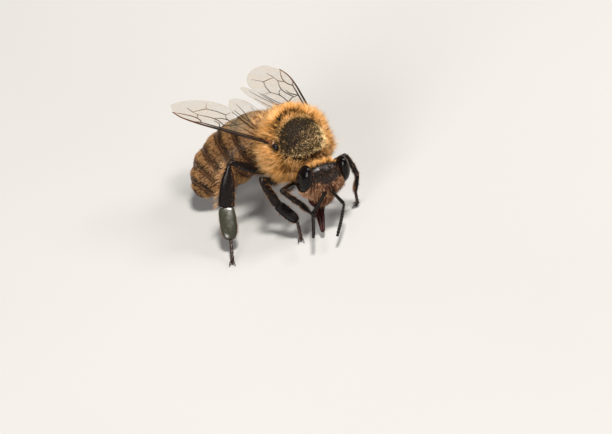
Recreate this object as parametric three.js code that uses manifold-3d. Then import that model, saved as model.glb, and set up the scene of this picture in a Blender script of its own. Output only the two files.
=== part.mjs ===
// A worker honey bee, life size, standing with its head lowered and its abdomen drooping to the right.
// Millimetres. +X is the way the thorax faces along the ground, +Y is the bee's left, +Z is up.
// The ground is z = 0, and the origin lies on it, under the middle of the whole bee.

import * as THREE from 'three';
import { mergeVertices } from 'three/addons/utils/BufferGeometryUtils.js';
import Module from 'manifold-3d';

const wasm = await Module();
wasm.setup();

// ---------------------------------------------------------------- driving dimensions

const gap = 0.25; // between neighbouring sub-parts
const degrees = Math.PI / 180;

const thorax = {
  centre: [0, 0, 4.8],
  pitchDown: 25,
  roll: -4.9,
  core: [2.1, 2.04, 2.02], // the body and the inner half of its dense coat
  scutellum: { at: [-1.32, 0, 1.12], radii: [0.72, 1.0, 0.56] },
};
// The coat's locks: flat, tapered, leaning back and down from the bald disc on the thorax's crown.
const coat = {
  count: 152, // places tried, before the bare ones are left out
  length: [0.8, 1.05],
  width: 0.82,
  thickness: 0.5,
  rootDepth: 0.3,
  lean: [46, 62], // from upright, at the root and at the tip
  seed: 13,
  bare: [
    { at: [0.25, 0, 2.05], reach: 1.45 }, // the disc
    { at: [-1.3, 0, 1.55], reach: 0.62 }, // the scutellum
    { at: [2.2, 0, -0.5], reach: 1.25 }, // the neck
    { at: [-2.1, 0, -0.5], reach: 0.95 }, // the waist
    { at: [0.2, 1.9, 0.88], reach: 0.85 }, // the wing roots
    { at: [0.2, -1.9, 0.88], reach: 0.85 },
  ],
};
const wingDepth = 0.2; // of the wing roots in the thorax
const tegula = { forward: 0.36, side: 1.74, up: 0.84, radii: [0.42, 0.26, 0.3] };

const head = {
  centre: [2.66, -0.03, 3.38],
  yaw: -8,
  pitchDown: 18,
  roll: -14.5,
  halfDepth: 0.86,
  halfWidth: 1.66,
  halfHeight: 1.58,
  chinWidth: 0.54, // share of the width left at the mouth
};
const eye = { at: [0.09, 1.37, 0.56], radii: [0.68, 0.44, 1.06], lean: 7 };
const clypeus = { at: [0.58, 0, -0.72], radii: [0.52, 0.66, 0.82] };
const labrum = { at: [0.56, 0, -1.56], radii: [0.28, 0.46, 0.3] };
const ocellus = { radius: 0.16, row: [[0.34, 0, 1.5], [0.16, 0.3, 1.56], [0.16, -0.3, 1.56]] };
const antenna = {
  thickness: 0.5,
  left: { socket: [3.6, 0.05, 2.8], elbow: [3.98, 0.46, 1.72], tip: [5.46, -1.23, 0.89] },
  right: { socket: [3.56, -0.48, 2.93], elbow: [3.36, -1.56, 1.78], tip: [5.01, -2.64, 1.39] },
};
const mandible = { root: [0.38, 0.84, -1.3], tip: [0.66, 0.34, -1.86], thickness: 0.5 };
const proboscis = { root: [0.52, 0, -1.78], bend: [0.7, -0.1, -2.3], tip: [3.97, -1.48, 0.43], width: 0.62 };

const abdomen = {
  axis: [[-1.95, -0.05, 5.0], [-3.84, -1.24, 3.74], [-5.03, -3.7, 2.16], [-5.0, -5.65, 1.12]],
  height: 0.97, // of its width
  waist: 0.5,
  // share of the length, and the width there
  plump: [[0.05, 1.4], [0.12, 2.5], [0.24, 3.45], [0.4, 3.8], [0.58, 3.8], [0.76, 3.3], [0.9, 2.2], [0.97, 1.2]],
  plateEdges: [0.15, 0.34, 0.52, 0.68, 0.82, 0.93], // rear rims of the overlapping plates
  rim: 0.07, // how far each plate's rear rim stands over the next
};

const wingThickness = 0.5;
const vein = { width: 0.16, stand: 0.1 };
const wings = {
  right: { root: [0.36, -1.64, 5.92], out: [-0.911, -0.407, 0.06], chord: [-0.409, 0.877, -0.254], lift: -14 },
  left: { root: [0.29, 1.77, 5.42], out: [-0.965, 0.248, -0.088], chord: [-0.263, -0.919, 0.295], lift: 12 },
};
// Wing outlines and veins: [way out from the root, way back from the front edge].
const forewing = {
  outline: [
    [0, 0], [1.6, -0.12], [4.2, -0.16], [6.0, -0.2], [7.4, -0.06], [8.4, 0.28], [8.8, 0.72],
    [8.72, 1.4], [8.2, 2.15], [7.3, 2.75], [6.3, 2.95], [5.5, 2.62], [5.0, 2.2], [3.0, 1.3], [1.2, 0.68], [0, 0.42],
  ],
  veins: [
    [[0.3, 0.02], [4.2, -0.04], [5.9, -0.06], [7.3, 0.08], [8.3, 0.42]],
    [[0.4, 0.26], [3.0, 0.27], [4.6, 0.24], [5.7, 0.12]],
    [[4.2, 0.3], [5.0, 0.72], [6.2, 0.82], [7.4, 0.62], [8.1, 0.36]],
    [[0.4, 0.32], [2.4, 0.78], [3.5, 1.0], [4.5, 1.3], [5.7, 1.42], [7.4, 1.5]],
    [[3.5, 1.0], [4.05, 0.32]],
    [[0.5, 0.4], [2.6, 1.06], [4.9, 1.98]],
    [[3.4, 1.32], [3.6, 1.02]],
    [[5.0, 0.74], [5.1, 1.38]],
    [[6.1, 0.82], [6.5, 1.44]],
    [[4.5, 1.32], [4.7, 1.9], [5.8, 2.2], [6.0, 1.46]],
  ],
};
const hindwing = {
  hook: [[0.2, 0.6], [4.9, 2.35]],
  outline: [
    [0.2, 0.72], [1.2, 0.96], [3.0, 1.6], [4.9, 2.46], [5.5, 2.94], [5.9, 3.4], [5.6, 3.75],
    [4.7, 3.65], [3.7, 3.25], [2.6, 2.75], [1.6, 2.2], [0.8, 1.5],
  ],
  veins: [
    [[0.4, 0.86], [2.8, 1.7], [4.9, 2.64], [5.65, 3.3]],
    [[0.5, 0.98], [2.6, 2.0], [4.1, 2.86], [5.0, 3.55]],
    [[0.5, 1.08], [1.8, 1.95], [2.6, 2.6]],
    [[3.2, 1.86], [3.0, 2.22]],
  ],
};

// Legs: joint places from the body outwards. Each row is hip, trochanter, knee, ankle, heel, toe.
const legs = {
  foreleg: {
    femur: [0.52, 0.6],
    tibia: [0.5, 0.52],
    basitarsus: [0.5, 0.5],
    right: [
      [0.67, -0.61, 3.05], [0.88, -1.25, 2.63], [2.2, -2.72, 3.72],
      [2.35, -1.8, 2.2], [2.1, -1.3, 1.15], [1.8, -0.8, 0.2],
    ],
    left: [
      [0.64, 0.38, 2.97], [0.98, 0.98, 2.6], [2.56, 2.09, 3.97],
      [2.82, 2.39, 2.26], [2.91, 1.9, 1.22], [2.87, 1.85, 0.2],
    ],
  },
  midleg: {
    femur: [0.54, 0.62],
    tibia: [0.52, 0.6],
    basitarsus: [0.66, 0.5],
    right: [
      [-0.73, -0.89, 3.34], [-0.15, -1.98, 2.7], [0.59, -3.23, 4.16],
      [1.36, -2.91, 2.24], [2.64, -2.43, 1.3], [2.95, -2.63, 0.2],
    ],
    left: [
      [-0.72, 0.62, 3.2], [-0.8, 1.6, 2.75], [-1.3, 2.6, 4.1],
      [-2.1, 3.0, 2.2], [-2.9, 3.1, 0.85], [-4.0, 3.1, 0.2],
    ],
  },
  hindleg: {
    femur: [0.58, 0.7],
    tibia: [0.6, 1.16],
    basitarsus: [1.16, 0.52],
    right: [
      [-1.53, -0.93, 3.88], [-1.06, -2.09, 3.08], [-1.32, -4.21, 5.11],
      [-0.91, -5.48, 2.31], [0.46, -6.32, 0.96], [1.52, -7.04, 0.2],
    ],
    left: [
      [-1.55, 0.62, 3.75], [-1.9, 1.7, 3.1], [-3.4, 2.3, 4.1],
      [-4.4, 2.7, 1.25], [-6.2, 2.6, 0.45], [-7.5, 2.4, 0.2],
    ],
  },
};
const tarsusWidth = 0.5;
const claw = { length: 0.42, width: 0.2, spread: 0.26 };

// ---------------------------------------------------------------- materials

const finish = {
  coat: new THREE.MeshStandardMaterial({ color: 0x9a6a33, roughness: 0.9, metalness: 0 }),
  face: new THREE.MeshStandardMaterial({ color: 0x3a2418, roughness: 0.6, metalness: 0 }),
  eye: new THREE.MeshStandardMaterial({ color: 0x0d0a0a, roughness: 0.18, metalness: 0 }),
  black: new THREE.MeshStandardMaterial({ color: 0x16110f, roughness: 0.35, metalness: 0 }),
  brown: new THREE.MeshStandardMaterial({ color: 0x5a2418, roughness: 0.4, metalness: 0 }),
  banded: new THREE.MeshStandardMaterial({ color: 0x3b2a1a, roughness: 0.5, metalness: 0 }),
  membrane: new THREE.MeshStandardMaterial({
    color: 0xc7b294, roughness: 0.25, metalness: 0, transparent: true, opacity: 0.45,
  }),
};

// ---------------------------------------------------------------- solids

/** The closed manifold solid of a three.js geometry. */
function solidOf(geometry) {
  const bare = geometry.clone();
  bare.deleteAttribute('normal');
  bare.deleteAttribute('uv');
  const merged = mergeVertices(bare, 1e-5);
  const index = merged.index.array;
  const kept = [];
  for (let i = 0; i < index.length; i += 3) {
    const [a, b, c] = [index[i], index[i + 1], index[i + 2]];
    if (a !== b && b !== c && c !== a) {
      kept.push(a, b, c);
    }
  }
  const mesh = new wasm.Mesh({
    numProp: 3,
    vertProperties: new Float32Array(merged.attributes.position.array),
    triVerts: new Uint32Array(kept),
  });
  return new wasm.Manifold(mesh);
}

/** The three.js geometry of the largest closed surface of a solid. */
function geometryOf(solid) {
  const pieces = solid.decompose();
  pieces.sort((a, b) => b.volume() - a.volume());
  const mesh = pieces[0].getMesh();
  const geometry = new THREE.BufferGeometry();
  geometry.setAttribute('position', new THREE.BufferAttribute(new Float32Array(mesh.vertProperties), 3));
  geometry.setIndex(new THREE.BufferAttribute(new Uint32Array(mesh.triVerts), 1));
  geometry.computeVertexNormals();
  return geometry;
}

function fuse(solids) {
  return solids.reduce((whole, piece) => whole.add(piece));
}

/** A matrix from a place and three turns: yaw about Z, then pitch about Y, then roll about X. */
function placement({ centre, yaw = 0, pitchDown = 0, roll = 0 }) {
  const turn = new THREE.Euler(roll * degrees, pitchDown * degrees, yaw * degrees, 'ZYX');
  return new THREE.Matrix4().makeRotationFromEuler(turn).setPosition(...centre);
}

function moved(solid, matrix) {
  return solid.transform(matrix.elements);
}

/** An ellipsoid at a place, leaning about the X axis. */
function ellipsoid(at, radii, lean = 0, around = 24) {
  const geometry = new THREE.SphereGeometry(1, around, Math.round(around * 0.6));
  geometry.rotateX(Math.PI / 2);
  geometry.scale(...radii);
  geometry.rotateX(lean * degrees);
  geometry.translate(...at);
  return solidOf(geometry);
}

/**
 * A closed limb: a unit lathe whose rings are widened, flattened and strung along a curve.
 * Each station is [share of the length, width, thickness]; the flat side looks along `facing`.
 * `extra` widens it all round, for the room that its neighbours leave it.
 */
function limb(path, stations, facing, around = 10, extra = 0) {
  const curve = new THREE.CatmullRomCurve3(path.map((p) => new THREE.Vector3(...p)));
  const profile = [new THREE.Vector2(0, 0)];
  stations.forEach((station, i) => profile.push(new THREE.Vector2(1, i + 1)));
  profile.push(new THREE.Vector2(0, stations.length + 1));
  const rows = [[0, 0, 0], ...stations, [1, 0, 0]];
  const geometry = new THREE.LatheGeometry(profile, around);
  const position = geometry.attributes.position;
  const flat = new THREE.Vector3(...facing);
  for (let i = 0; i < position.count; i += 1) {
    const [share, width, thickness] = rows[Math.round(position.getY(i))];
    const ahead = curve.getTangentAt(share);
    const side = new THREE.Vector3().crossVectors(flat, ahead).normalize();
    const normal = new THREE.Vector3().crossVectors(side, ahead);
    const point = curve.getPointAt(share)
      .addScaledVector(side, position.getX(i) * (width * 0.5 + extra))
      .addScaledVector(normal, position.getZ(i) * (thickness * 0.5 + extra));
    position.setXYZ(i, point.x, point.y, point.z);
  }
  return solidOf(geometry);
}

/** The part of a straight run between two joints that leaves half a gap at each end. */
function between(from, to, trimStart = gap / 2, trimEnd = gap / 2) {
  const a = new THREE.Vector3(...from);
  const b = new THREE.Vector3(...to);
  const way = b.clone().sub(a).normalize();
  return [a.addScaledVector(way, trimStart).toArray(), b.addScaledVector(way, -trimEnd).toArray()];
}

// ---------------------------------------------------------------- the body

const thoraxPlace = placement(thorax);
const headPlace = placement(head);

function thoraxHull(extra = 0) {
  const grow = (radii) => radii.map((radius) => radius + extra);
  const dome = ellipsoid([0, 0, 0], grow(thorax.core), 0, 24);
  const shield = ellipsoid(thorax.scutellum.at, grow(thorax.scutellum.radii), 0, 14);
  return moved(fuse([dome, shield]), thoraxPlace);
}

/** Even draws from 0 to 1, the same on every run. */
function drawsFrom(seed) {
  let state = seed;
  return () => {
    state = (state * 16807) % 2147483647;
    return state / 2147483647;
  };
}

/** The thorax's coat: locks spread evenly over the core, each lying back and down over the next. */
function coatLocks() {
  const draw = drawsFrom(coat.seed);
  const locks = [];
  const core = new THREE.Vector3(...thorax.core);
  for (let i = 0; i < coat.count; i += 1) {
    const height = 1 - (2 * (i + 0.5)) / coat.count;
    const turn = i * Math.PI * (3 - Math.sqrt(5)) + 0.25 * (draw() - 0.5);
    const round = Math.sqrt(1 - height * height);
    const unit = new THREE.Vector3(round * Math.cos(turn), round * Math.sin(turn), height);
    const root = unit.clone().multiply(core);
    const length = THREE.MathUtils.lerp(...coat.length, draw());
    const width = coat.width * (0.85 + 0.3 * draw());
    const spread = 0.5 * (draw() - 0.5);
    if (coat.bare.some(({ at, reach }) => root.distanceTo(new THREE.Vector3(...at)) < reach)) {
      continue;
    }
    const out = unit.clone().divide(core).normalize();
    const away = new THREE.Vector3(-1, spread + Math.sign(unit.y) * 0.35, unit.z > 0 ? -0.2 : -0.7);
    const lie = away.addScaledVector(out, -away.dot(out)).normalize();
    const reach = (share, lean) => root.clone()
      .addScaledVector(out, length * share * Math.cos(lean * degrees))
      .addScaledVector(lie, length * share * Math.sin(lean * degrees));
    const path = [
      root.clone().addScaledVector(out, -coat.rootDepth),
      reach(0.5, coat.lean[0]),
      reach(1, coat.lean[1]),
    ].map((point) => point.toArray());
    const stations = [[0.02, width, coat.thickness], [0.55, width, coat.thickness * 0.8], [0.85, width * 0.55, 0.25]];
    locks.push(limb(path, stations, out.toArray(), 4));
  }
  return moved(fuse(locks), thoraxPlace);
}

/** The head's lens: widest above the middle, drawn in to the mouth, flat behind. */
function headHull(extra = 0) {
  const geometry = new THREE.SphereGeometry(1, 24, 14);
  geometry.rotateX(Math.PI / 2);
  const position = geometry.attributes.position;
  for (let i = 0; i < position.count; i += 1) {
    const [x, y, z] = [position.getX(i), position.getY(i), position.getZ(i)];
    const down = Math.max(0, -z);
    const narrowing = 1 - (1 - head.chinWidth) * down * down;
    position.setXYZ(
      i,
      x * (head.halfDepth * (x > 0 ? 1.12 : 0.85) + extra),
      y * (head.halfWidth * narrowing + extra),
      z * (head.halfHeight + extra),
    );
  }
  return moved(solidOf(geometry), headPlace);
}

function eyeBall(side, extra = 0) {
  const [x, y, z] = eye.at;
  const radii = eye.radii.map((radius) => radius + extra);
  return moved(ellipsoid([x, side * y, z], radii, side * eye.lean, 16), headPlace);
}

const solids = new Map();

function put(name, solid, material) {
  solids.set(name, { solid, material });
}

const mirrored = ([x, y, z], side) => [x, side * y, z];
const sides = { left: 1, right: -1 };

// Head with its three ocelli, eyes, feelers and mouth.
let headSolid = headHull();
for (const { at, radii } of [clypeus, labrum]) {
  headSolid = headSolid.add(moved(ellipsoid(at, radii, 0, 12), headPlace));
}
for (const at of ocellus.row) {
  headSolid = headSolid.add(moved(ellipsoid(at, [ocellus.radius, ocellus.radius, ocellus.radius], 0, 8), headPlace));
}
for (const [name, side] of Object.entries(sides)) {
  headSolid = headSolid.subtract(eyeBall(side, gap * 0.6));
  put(`eye_${name}`, eyeBall(side), finish.eye);
}
const headForward = [1, 0, 0];
for (const name of Object.keys(sides)) {
  const { socket, elbow, tip } = antenna[name];
  const t = antenna.thickness;
  const scape = limb(between(socket, elbow), [[0.06, t * 0.7, t * 0.7], [0.3, t, t], [0.94, t, t]], headForward, 8);
  const flagellum = limb(between(elbow, tip, gap / 2, 0), [[0.05, t, t], [0.6, t, t], [0.92, t * 0.8, t * 0.8]],
    headForward, 8);
  put(`scape_${name}`, scape.subtract(headHull(gap)), finish.black);
  put(`flagellum_${name}`, flagellum, finish.black);
}

// Abdomen: overlapping plates around a bent axis.
const plumpness = new THREE.SplineCurve([
  new THREE.Vector2(0, abdomen.waist),
  ...abdomen.plump.map(([share, width]) => new THREE.Vector2(share, width)),
  new THREE.Vector2(1, 0.35),
]);

function widthAt(share) {
  let [low, high] = [0, 1];
  for (let i = 0; i < 24; i += 1) {
    const middle = (low + high) / 2;
    if (plumpness.getPoint(middle).x < share) {
      low = middle;
    } else {
      high = middle;
    }
  }
  return plumpness.getPoint((low + high) / 2).y;
}

function abdomenStations() {
  const rows = [[0.004, abdomen.waist, abdomen.waist]];
  const steps = 3;
  const edges = [0.03, ...abdomen.plateEdges, 0.985];
  for (let i = 1; i < edges.length; i += 1) {
    const [front, rear] = [edges[i - 1], edges[i]];
    for (let k = 0; k <= steps; k += 1) {
      const share = front + 0.003 + (rear - front - 0.003) * (k / steps);
      const width = widthAt(share) + abdomen.rim * (2 * (k / steps) - 1);
      rows.push([share, width, width * abdomen.height]);
    }
  }
  return rows;
}

const thoraxUp = new THREE.Vector3(0, 0, 1).transformDirection(thoraxPlace).toArray();
const abdomenForm = (extra) => limb(abdomen.axis, abdomenStations(), thoraxUp, 22, extra);

// Each leg's coxa runs down to the trochanter, and its femur up from there to the knee, in one piece.
// Its flat side looks out and up.
const legFacing = (name) => [0.72, sides[name] * 0.3, 0.6];

function femurForm(form, name, extra = 0) {
  const [hip, trochanter, knee] = form[name];
  const [hipWidth, femurWidth] = form.femur;
  const coxa = limb([hip, between(trochanter, hip, -0.2)[0]], [
    [0.04, hipWidth * 1.3, hipWidth * 1.3], [0.6, hipWidth * 1.15, hipWidth * 1.15], [0.9, hipWidth, hipWidth],
  ], legFacing(name), 8, extra);
  const femur = limb(between(trochanter, knee, -0.1), [
    [0.06, hipWidth * 0.9, hipWidth * 0.9], [0.3, femurWidth, femurWidth * 0.9],
    [0.88, femurWidth * 0.85, 0.5], [0.96, femurWidth * 0.7, 0.5],
  ], legFacing(name), 8, extra);
  return coxa.add(femur);
}

// Thorax: the core and the locks, which end clear of the legs, the abdomen and the head.
let locks = coatLocks().subtract(abdomenForm(gap));
for (const form of Object.values(legs)) {
  for (const name of Object.keys(sides)) {
    locks = locks.subtract(femurForm(form, name, gap));
  }
}
let thoraxSolid = thoraxHull().add(locks).subtract(headHull(gap));
for (const side of Object.values(sides)) {
  thoraxSolid = thoraxSolid.subtract(eyeBall(side, gap));
}
let abdomenSolid = abdomenForm(0).subtract(thoraxHull(gap));

// ---------------------------------------------------------------- wings

function plate(outline, depth) {
  const shape = new THREE.Shape(outline.map(([x, y]) => new THREE.Vector2(x, y)));
  const geometry = new THREE.ExtrudeGeometry(shape, { depth, bevelEnabled: false });
  return solidOf(geometry.translate(0, 0, -depth / 2));
}

/** A vein: a band of even width along a line, standing proud of the membrane on both faces. */
function veinRidge(line) {
  const half = vein.width / 2;
  const left = [];
  const right = [];
  line.forEach(([x, y], i) => {
    const [ax, ay] = line[Math.max(0, i - 1)];
    const [bx, by] = line[Math.min(line.length - 1, i + 1)];
    const length = Math.hypot(bx - ax, by - ay);
    const [nx, ny] = [-(by - ay) / length, (bx - ax) / length];
    left.push([x + nx * half, y + ny * half]);
    right.unshift([x - nx * half, y - ny * half]);
  });
  return plate([...left, ...right], wingThickness + 2 * vein.stand);
}

/** Where a wing lies. The hindwing is lifted about the line where it hooks on to the forewing. */
function wingPlace({ root, out, chord, lift }, hook) {
  const x = new THREE.Vector3(...out).normalize();
  const z = new THREE.Vector3(...out).cross(new THREE.Vector3(...chord)).normalize();
  const y = new THREE.Vector3().crossVectors(z, x);
  const place = new THREE.Matrix4().makeBasis(x, y, z).setPosition(...root);
  if (!hook) {
    return place;
  }
  const [[fromX, fromY], [toX, toY]] = hook;
  const axis = new THREE.Vector3(toX - fromX, toY - fromY, 0).normalize();
  place.multiply(new THREE.Matrix4().makeTranslation(fromX, fromY, 0));
  place.multiply(new THREE.Matrix4().makeRotationAxis(axis, lift * degrees));
  return place.multiply(new THREE.Matrix4().makeTranslation(-fromX, -fromY, 0));
}

/** The room a wing needs: its plate, thickened and spread by the gap. */
function wingRoom({ outline }) {
  const thick = wingThickness + 2 * gap;
  const shifts = [[gap, 0], [-gap, 0], [0, gap], [0, -gap]];
  return fuse(shifts.map(([dx, dy]) => plate(outline.map(([x, y]) => [x + dx, y + dy]), thick)));
}

function tegulaBall(side, extra = 0) {
  const radii = tegula.radii.map((radius) => radius + extra);
  return moved(ellipsoid([tegula.forward, side * tegula.side, tegula.up], radii, 0, 10), thoraxPlace);
}

const wingFloor = thoraxHull(-wingDepth);
const slotFloor = thoraxHull(-wingDepth - gap);
for (const [name, side] of Object.entries(sides)) {
  thoraxSolid = thoraxSolid.subtract(tegulaBall(side, gap));
  put(`tegula_${name}`, tegulaBall(side), finish.black);
  for (const [kind, form] of Object.entries({ forewing, hindwing })) {
    const place = wingPlace(wings[name], form.hook);
    const whole = moved(fuse([plate(form.outline, wingThickness), ...form.veins.map(veinRidge)]), place);
    const room = moved(wingRoom(form), place);
    thoraxSolid = thoraxSolid.subtract(room.subtract(slotFloor));
    abdomenSolid = abdomenSolid.subtract(room);
    put(`${kind}_${name}`, whole.subtract(tegulaBall(side, gap)).subtract(wingFloor), finish.membrane);
  }
}

// ---------------------------------------------------------------- legs

const ground = solidOf(new THREE.BoxGeometry(60, 60, 4).translate(0, 0, -2));
const legClearance = thoraxHull(gap);

for (const [kind, form] of Object.entries(legs)) {
  for (const name of Object.keys(sides)) {
    const [, , knee, ankle, heel, toe] = form[name];
    const outward = legFacing(name);
    const [tibiaTop, tibiaEnd] = form.tibia;
    const tibiaForm = (trim, extra = 0) => limb(between(knee, ankle, trim), [
      [0.03, tibiaTop * 0.8, 0.45], [0.12, tibiaTop, 0.5], [0.6, (tibiaTop + tibiaEnd) / 2, 0.52],
      [0.9, tibiaEnd, 0.52], [0.97, tibiaEnd * 0.9, 0.5],
    ], outward, 10, extra);
    const [footWidth, footThickness] = form.basitarsus;
    const basitarsus = limb(between(ankle, heel), [
      [0.04, footWidth * 0.8, 0.46], [0.2, footWidth, footThickness], [0.7, footWidth, footThickness],
      [0.95, footWidth * 0.75, 0.46],
    ], outward);
    const beads = [];
    for (let k = 0; k < 4; k += 1) {
      beads.push([k * 0.25 + 0.04, tarsusWidth * 0.72, tarsusWidth * 0.72]);
      beads.push([k * 0.25 + 0.2, tarsusWidth, tarsusWidth]);
    }
    let tarsus = limb(between(heel, toe, gap / 2, 0), beads, outward, 6);
    const [heelPoint, toePoint] = [new THREE.Vector3(...heel), new THREE.Vector3(...toe)];
    const way = toePoint.clone().sub(heelPoint).setZ(0).normalize();
    const across = new THREE.Vector3(-way.y, way.x, 0);
    for (const part of [-1, 1]) {
      const tip = toePoint.clone().addScaledVector(way, claw.length).addScaledVector(across, part * claw.spread);
      const hook = [toe, [tip.x, tip.y, 0.16]];
      const row = [[0.1, claw.width, claw.width], [0.8, claw.width * 0.6, claw.width * 0.6]];
      tarsus = tarsus.add(limb(hook, row, [0, 0, 1], 4));
    }
    const pad = ellipsoid([toe[0], toe[1], 0.1], [0.28, 0.28, 0.22], 0, 8);
    tarsus = tarsus.add(pad).subtract(ground);
    const bend = tibiaForm(-gap / 2, gap);
    const femur = femurForm(form, name).subtract(legClearance).subtract(headHull(gap)).subtract(bend);
    put(`${kind}_${name}_femur`, femur, finish.black);
    put(`${kind}_${name}_tibia`, tibiaForm(gap / 2), finish.black);
    put(`${kind}_${name}_basitarsus`, basitarsus, finish.black);
    put(`${kind}_${name}_tarsus`, tarsus, finish.brown);
  }
}

// ---------------------------------------------------------------- mouth

const headPoint = (at) => new THREE.Vector3(...at).applyMatrix4(headPlace).toArray();
for (const [name, side] of Object.entries(sides)) {
  const t = mandible.thickness;
  const jaw = limb([headPoint(mirrored(mandible.root, side)), headPoint(mirrored(mandible.tip, side))],
    [[0.1, t, t], [0.6, t, t * 0.9], [0.92, t * 0.6, t * 0.5]], [1, 0, 0], 8);
  put(`mandible_${name}`, jaw.subtract(headHull(gap)), finish.brown);
}
const tongue = limb([headPoint(proboscis.root), headPoint(proboscis.bend), proboscis.tip], [
  [0.03, proboscis.width, 0.5], [0.4, proboscis.width, 0.5], [0.7, proboscis.width * 0.7, 0.45], [0.95, 0.26, 0.24],
], [0.74, -0.3, 0.6], 10);
put('proboscis', tongue.subtract(headHull(gap)), finish.brown);
put('head', headSolid, finish.face);
put('thorax', thoraxSolid, finish.coat);
put('abdomen', abdomenSolid, finish.banded);

// ---------------------------------------------------------------- the bee

const bee = new THREE.Group();
for (const [name, { solid, material }] of solids) {
  const mesh = new THREE.Mesh(geometryOf(solid), material);
  mesh.name = name;
  bee.add(mesh);
}
const extent = new THREE.Box3().setFromObject(bee);
const middle = extent.getCenter(new THREE.Vector3());
bee.position.set(-middle.x, -middle.y, -extent.min.z);

export default bee;
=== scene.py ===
# A worker honey bee, life size, standing with its head lowered and its abdomen drooping to one side.
# The pieces follow the animal as it is put together: trunk, head, abdomen, wings, legs, and its coat last.
# Meshes are shaped in millimetres about the bee and brought to metres as each is finished.

import math

import bmesh
import bpy
import numpy as np
from mathutils import Matrix, Vector
from mathutils.kdtree import KDTree


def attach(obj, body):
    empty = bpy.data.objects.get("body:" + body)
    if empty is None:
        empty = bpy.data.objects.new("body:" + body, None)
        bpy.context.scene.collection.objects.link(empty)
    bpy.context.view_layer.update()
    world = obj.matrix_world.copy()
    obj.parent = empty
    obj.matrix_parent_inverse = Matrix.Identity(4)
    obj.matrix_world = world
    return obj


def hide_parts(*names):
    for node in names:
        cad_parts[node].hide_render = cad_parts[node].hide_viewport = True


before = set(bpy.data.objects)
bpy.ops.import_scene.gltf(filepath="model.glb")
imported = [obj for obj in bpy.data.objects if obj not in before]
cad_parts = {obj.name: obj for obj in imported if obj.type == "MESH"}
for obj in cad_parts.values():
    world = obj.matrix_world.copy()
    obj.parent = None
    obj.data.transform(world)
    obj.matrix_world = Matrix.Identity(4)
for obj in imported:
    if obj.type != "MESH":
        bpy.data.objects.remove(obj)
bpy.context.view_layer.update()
bpy.ops.object.select_all(action="DESELECT")

# ---------------------------------------------------------------------------------------------- the studio
# A pale matt floor and three soft square lights: the key above, one from the bee's left, and a broad one
# at its front right. The camera stands off on that side too, and looks down on the bee.

millimetre = 0.001
looking_at = Vector((3.904, 0.177, 1.05)) * millimetre
to_camera = Vector((0.7359, -0.2978, 0.6081))
camera_up = Vector((-0.4374, 0.4764, 0.7627))
camera_right = Vector((0.5169, 0.8272, -0.2203))
camera_distance = 0.230


class Wire:
    """One socket of a finish's nodes, so that patterns are added and scaled as plain arithmetic."""

    def __init__(self, finish, socket):
        self.finish = finish
        self.socket = socket

    def maths(self, operation, first, second):
        return self.finish.node("ShaderNodeMath", {"operation": operation}, {0: first, 1: second})["Value"]

    def __add__(self, other):
        return self.maths("ADD", self, other)

    def __sub__(self, other):
        return self.maths("SUBTRACT", self, other)

    def __rsub__(self, other):
        return self.maths("SUBTRACT", other, self)

    def __mul__(self, other):
        return self.maths("MULTIPLY", self, other)

    __radd__ = __add__
    __rmul__ = __mul__


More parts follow.
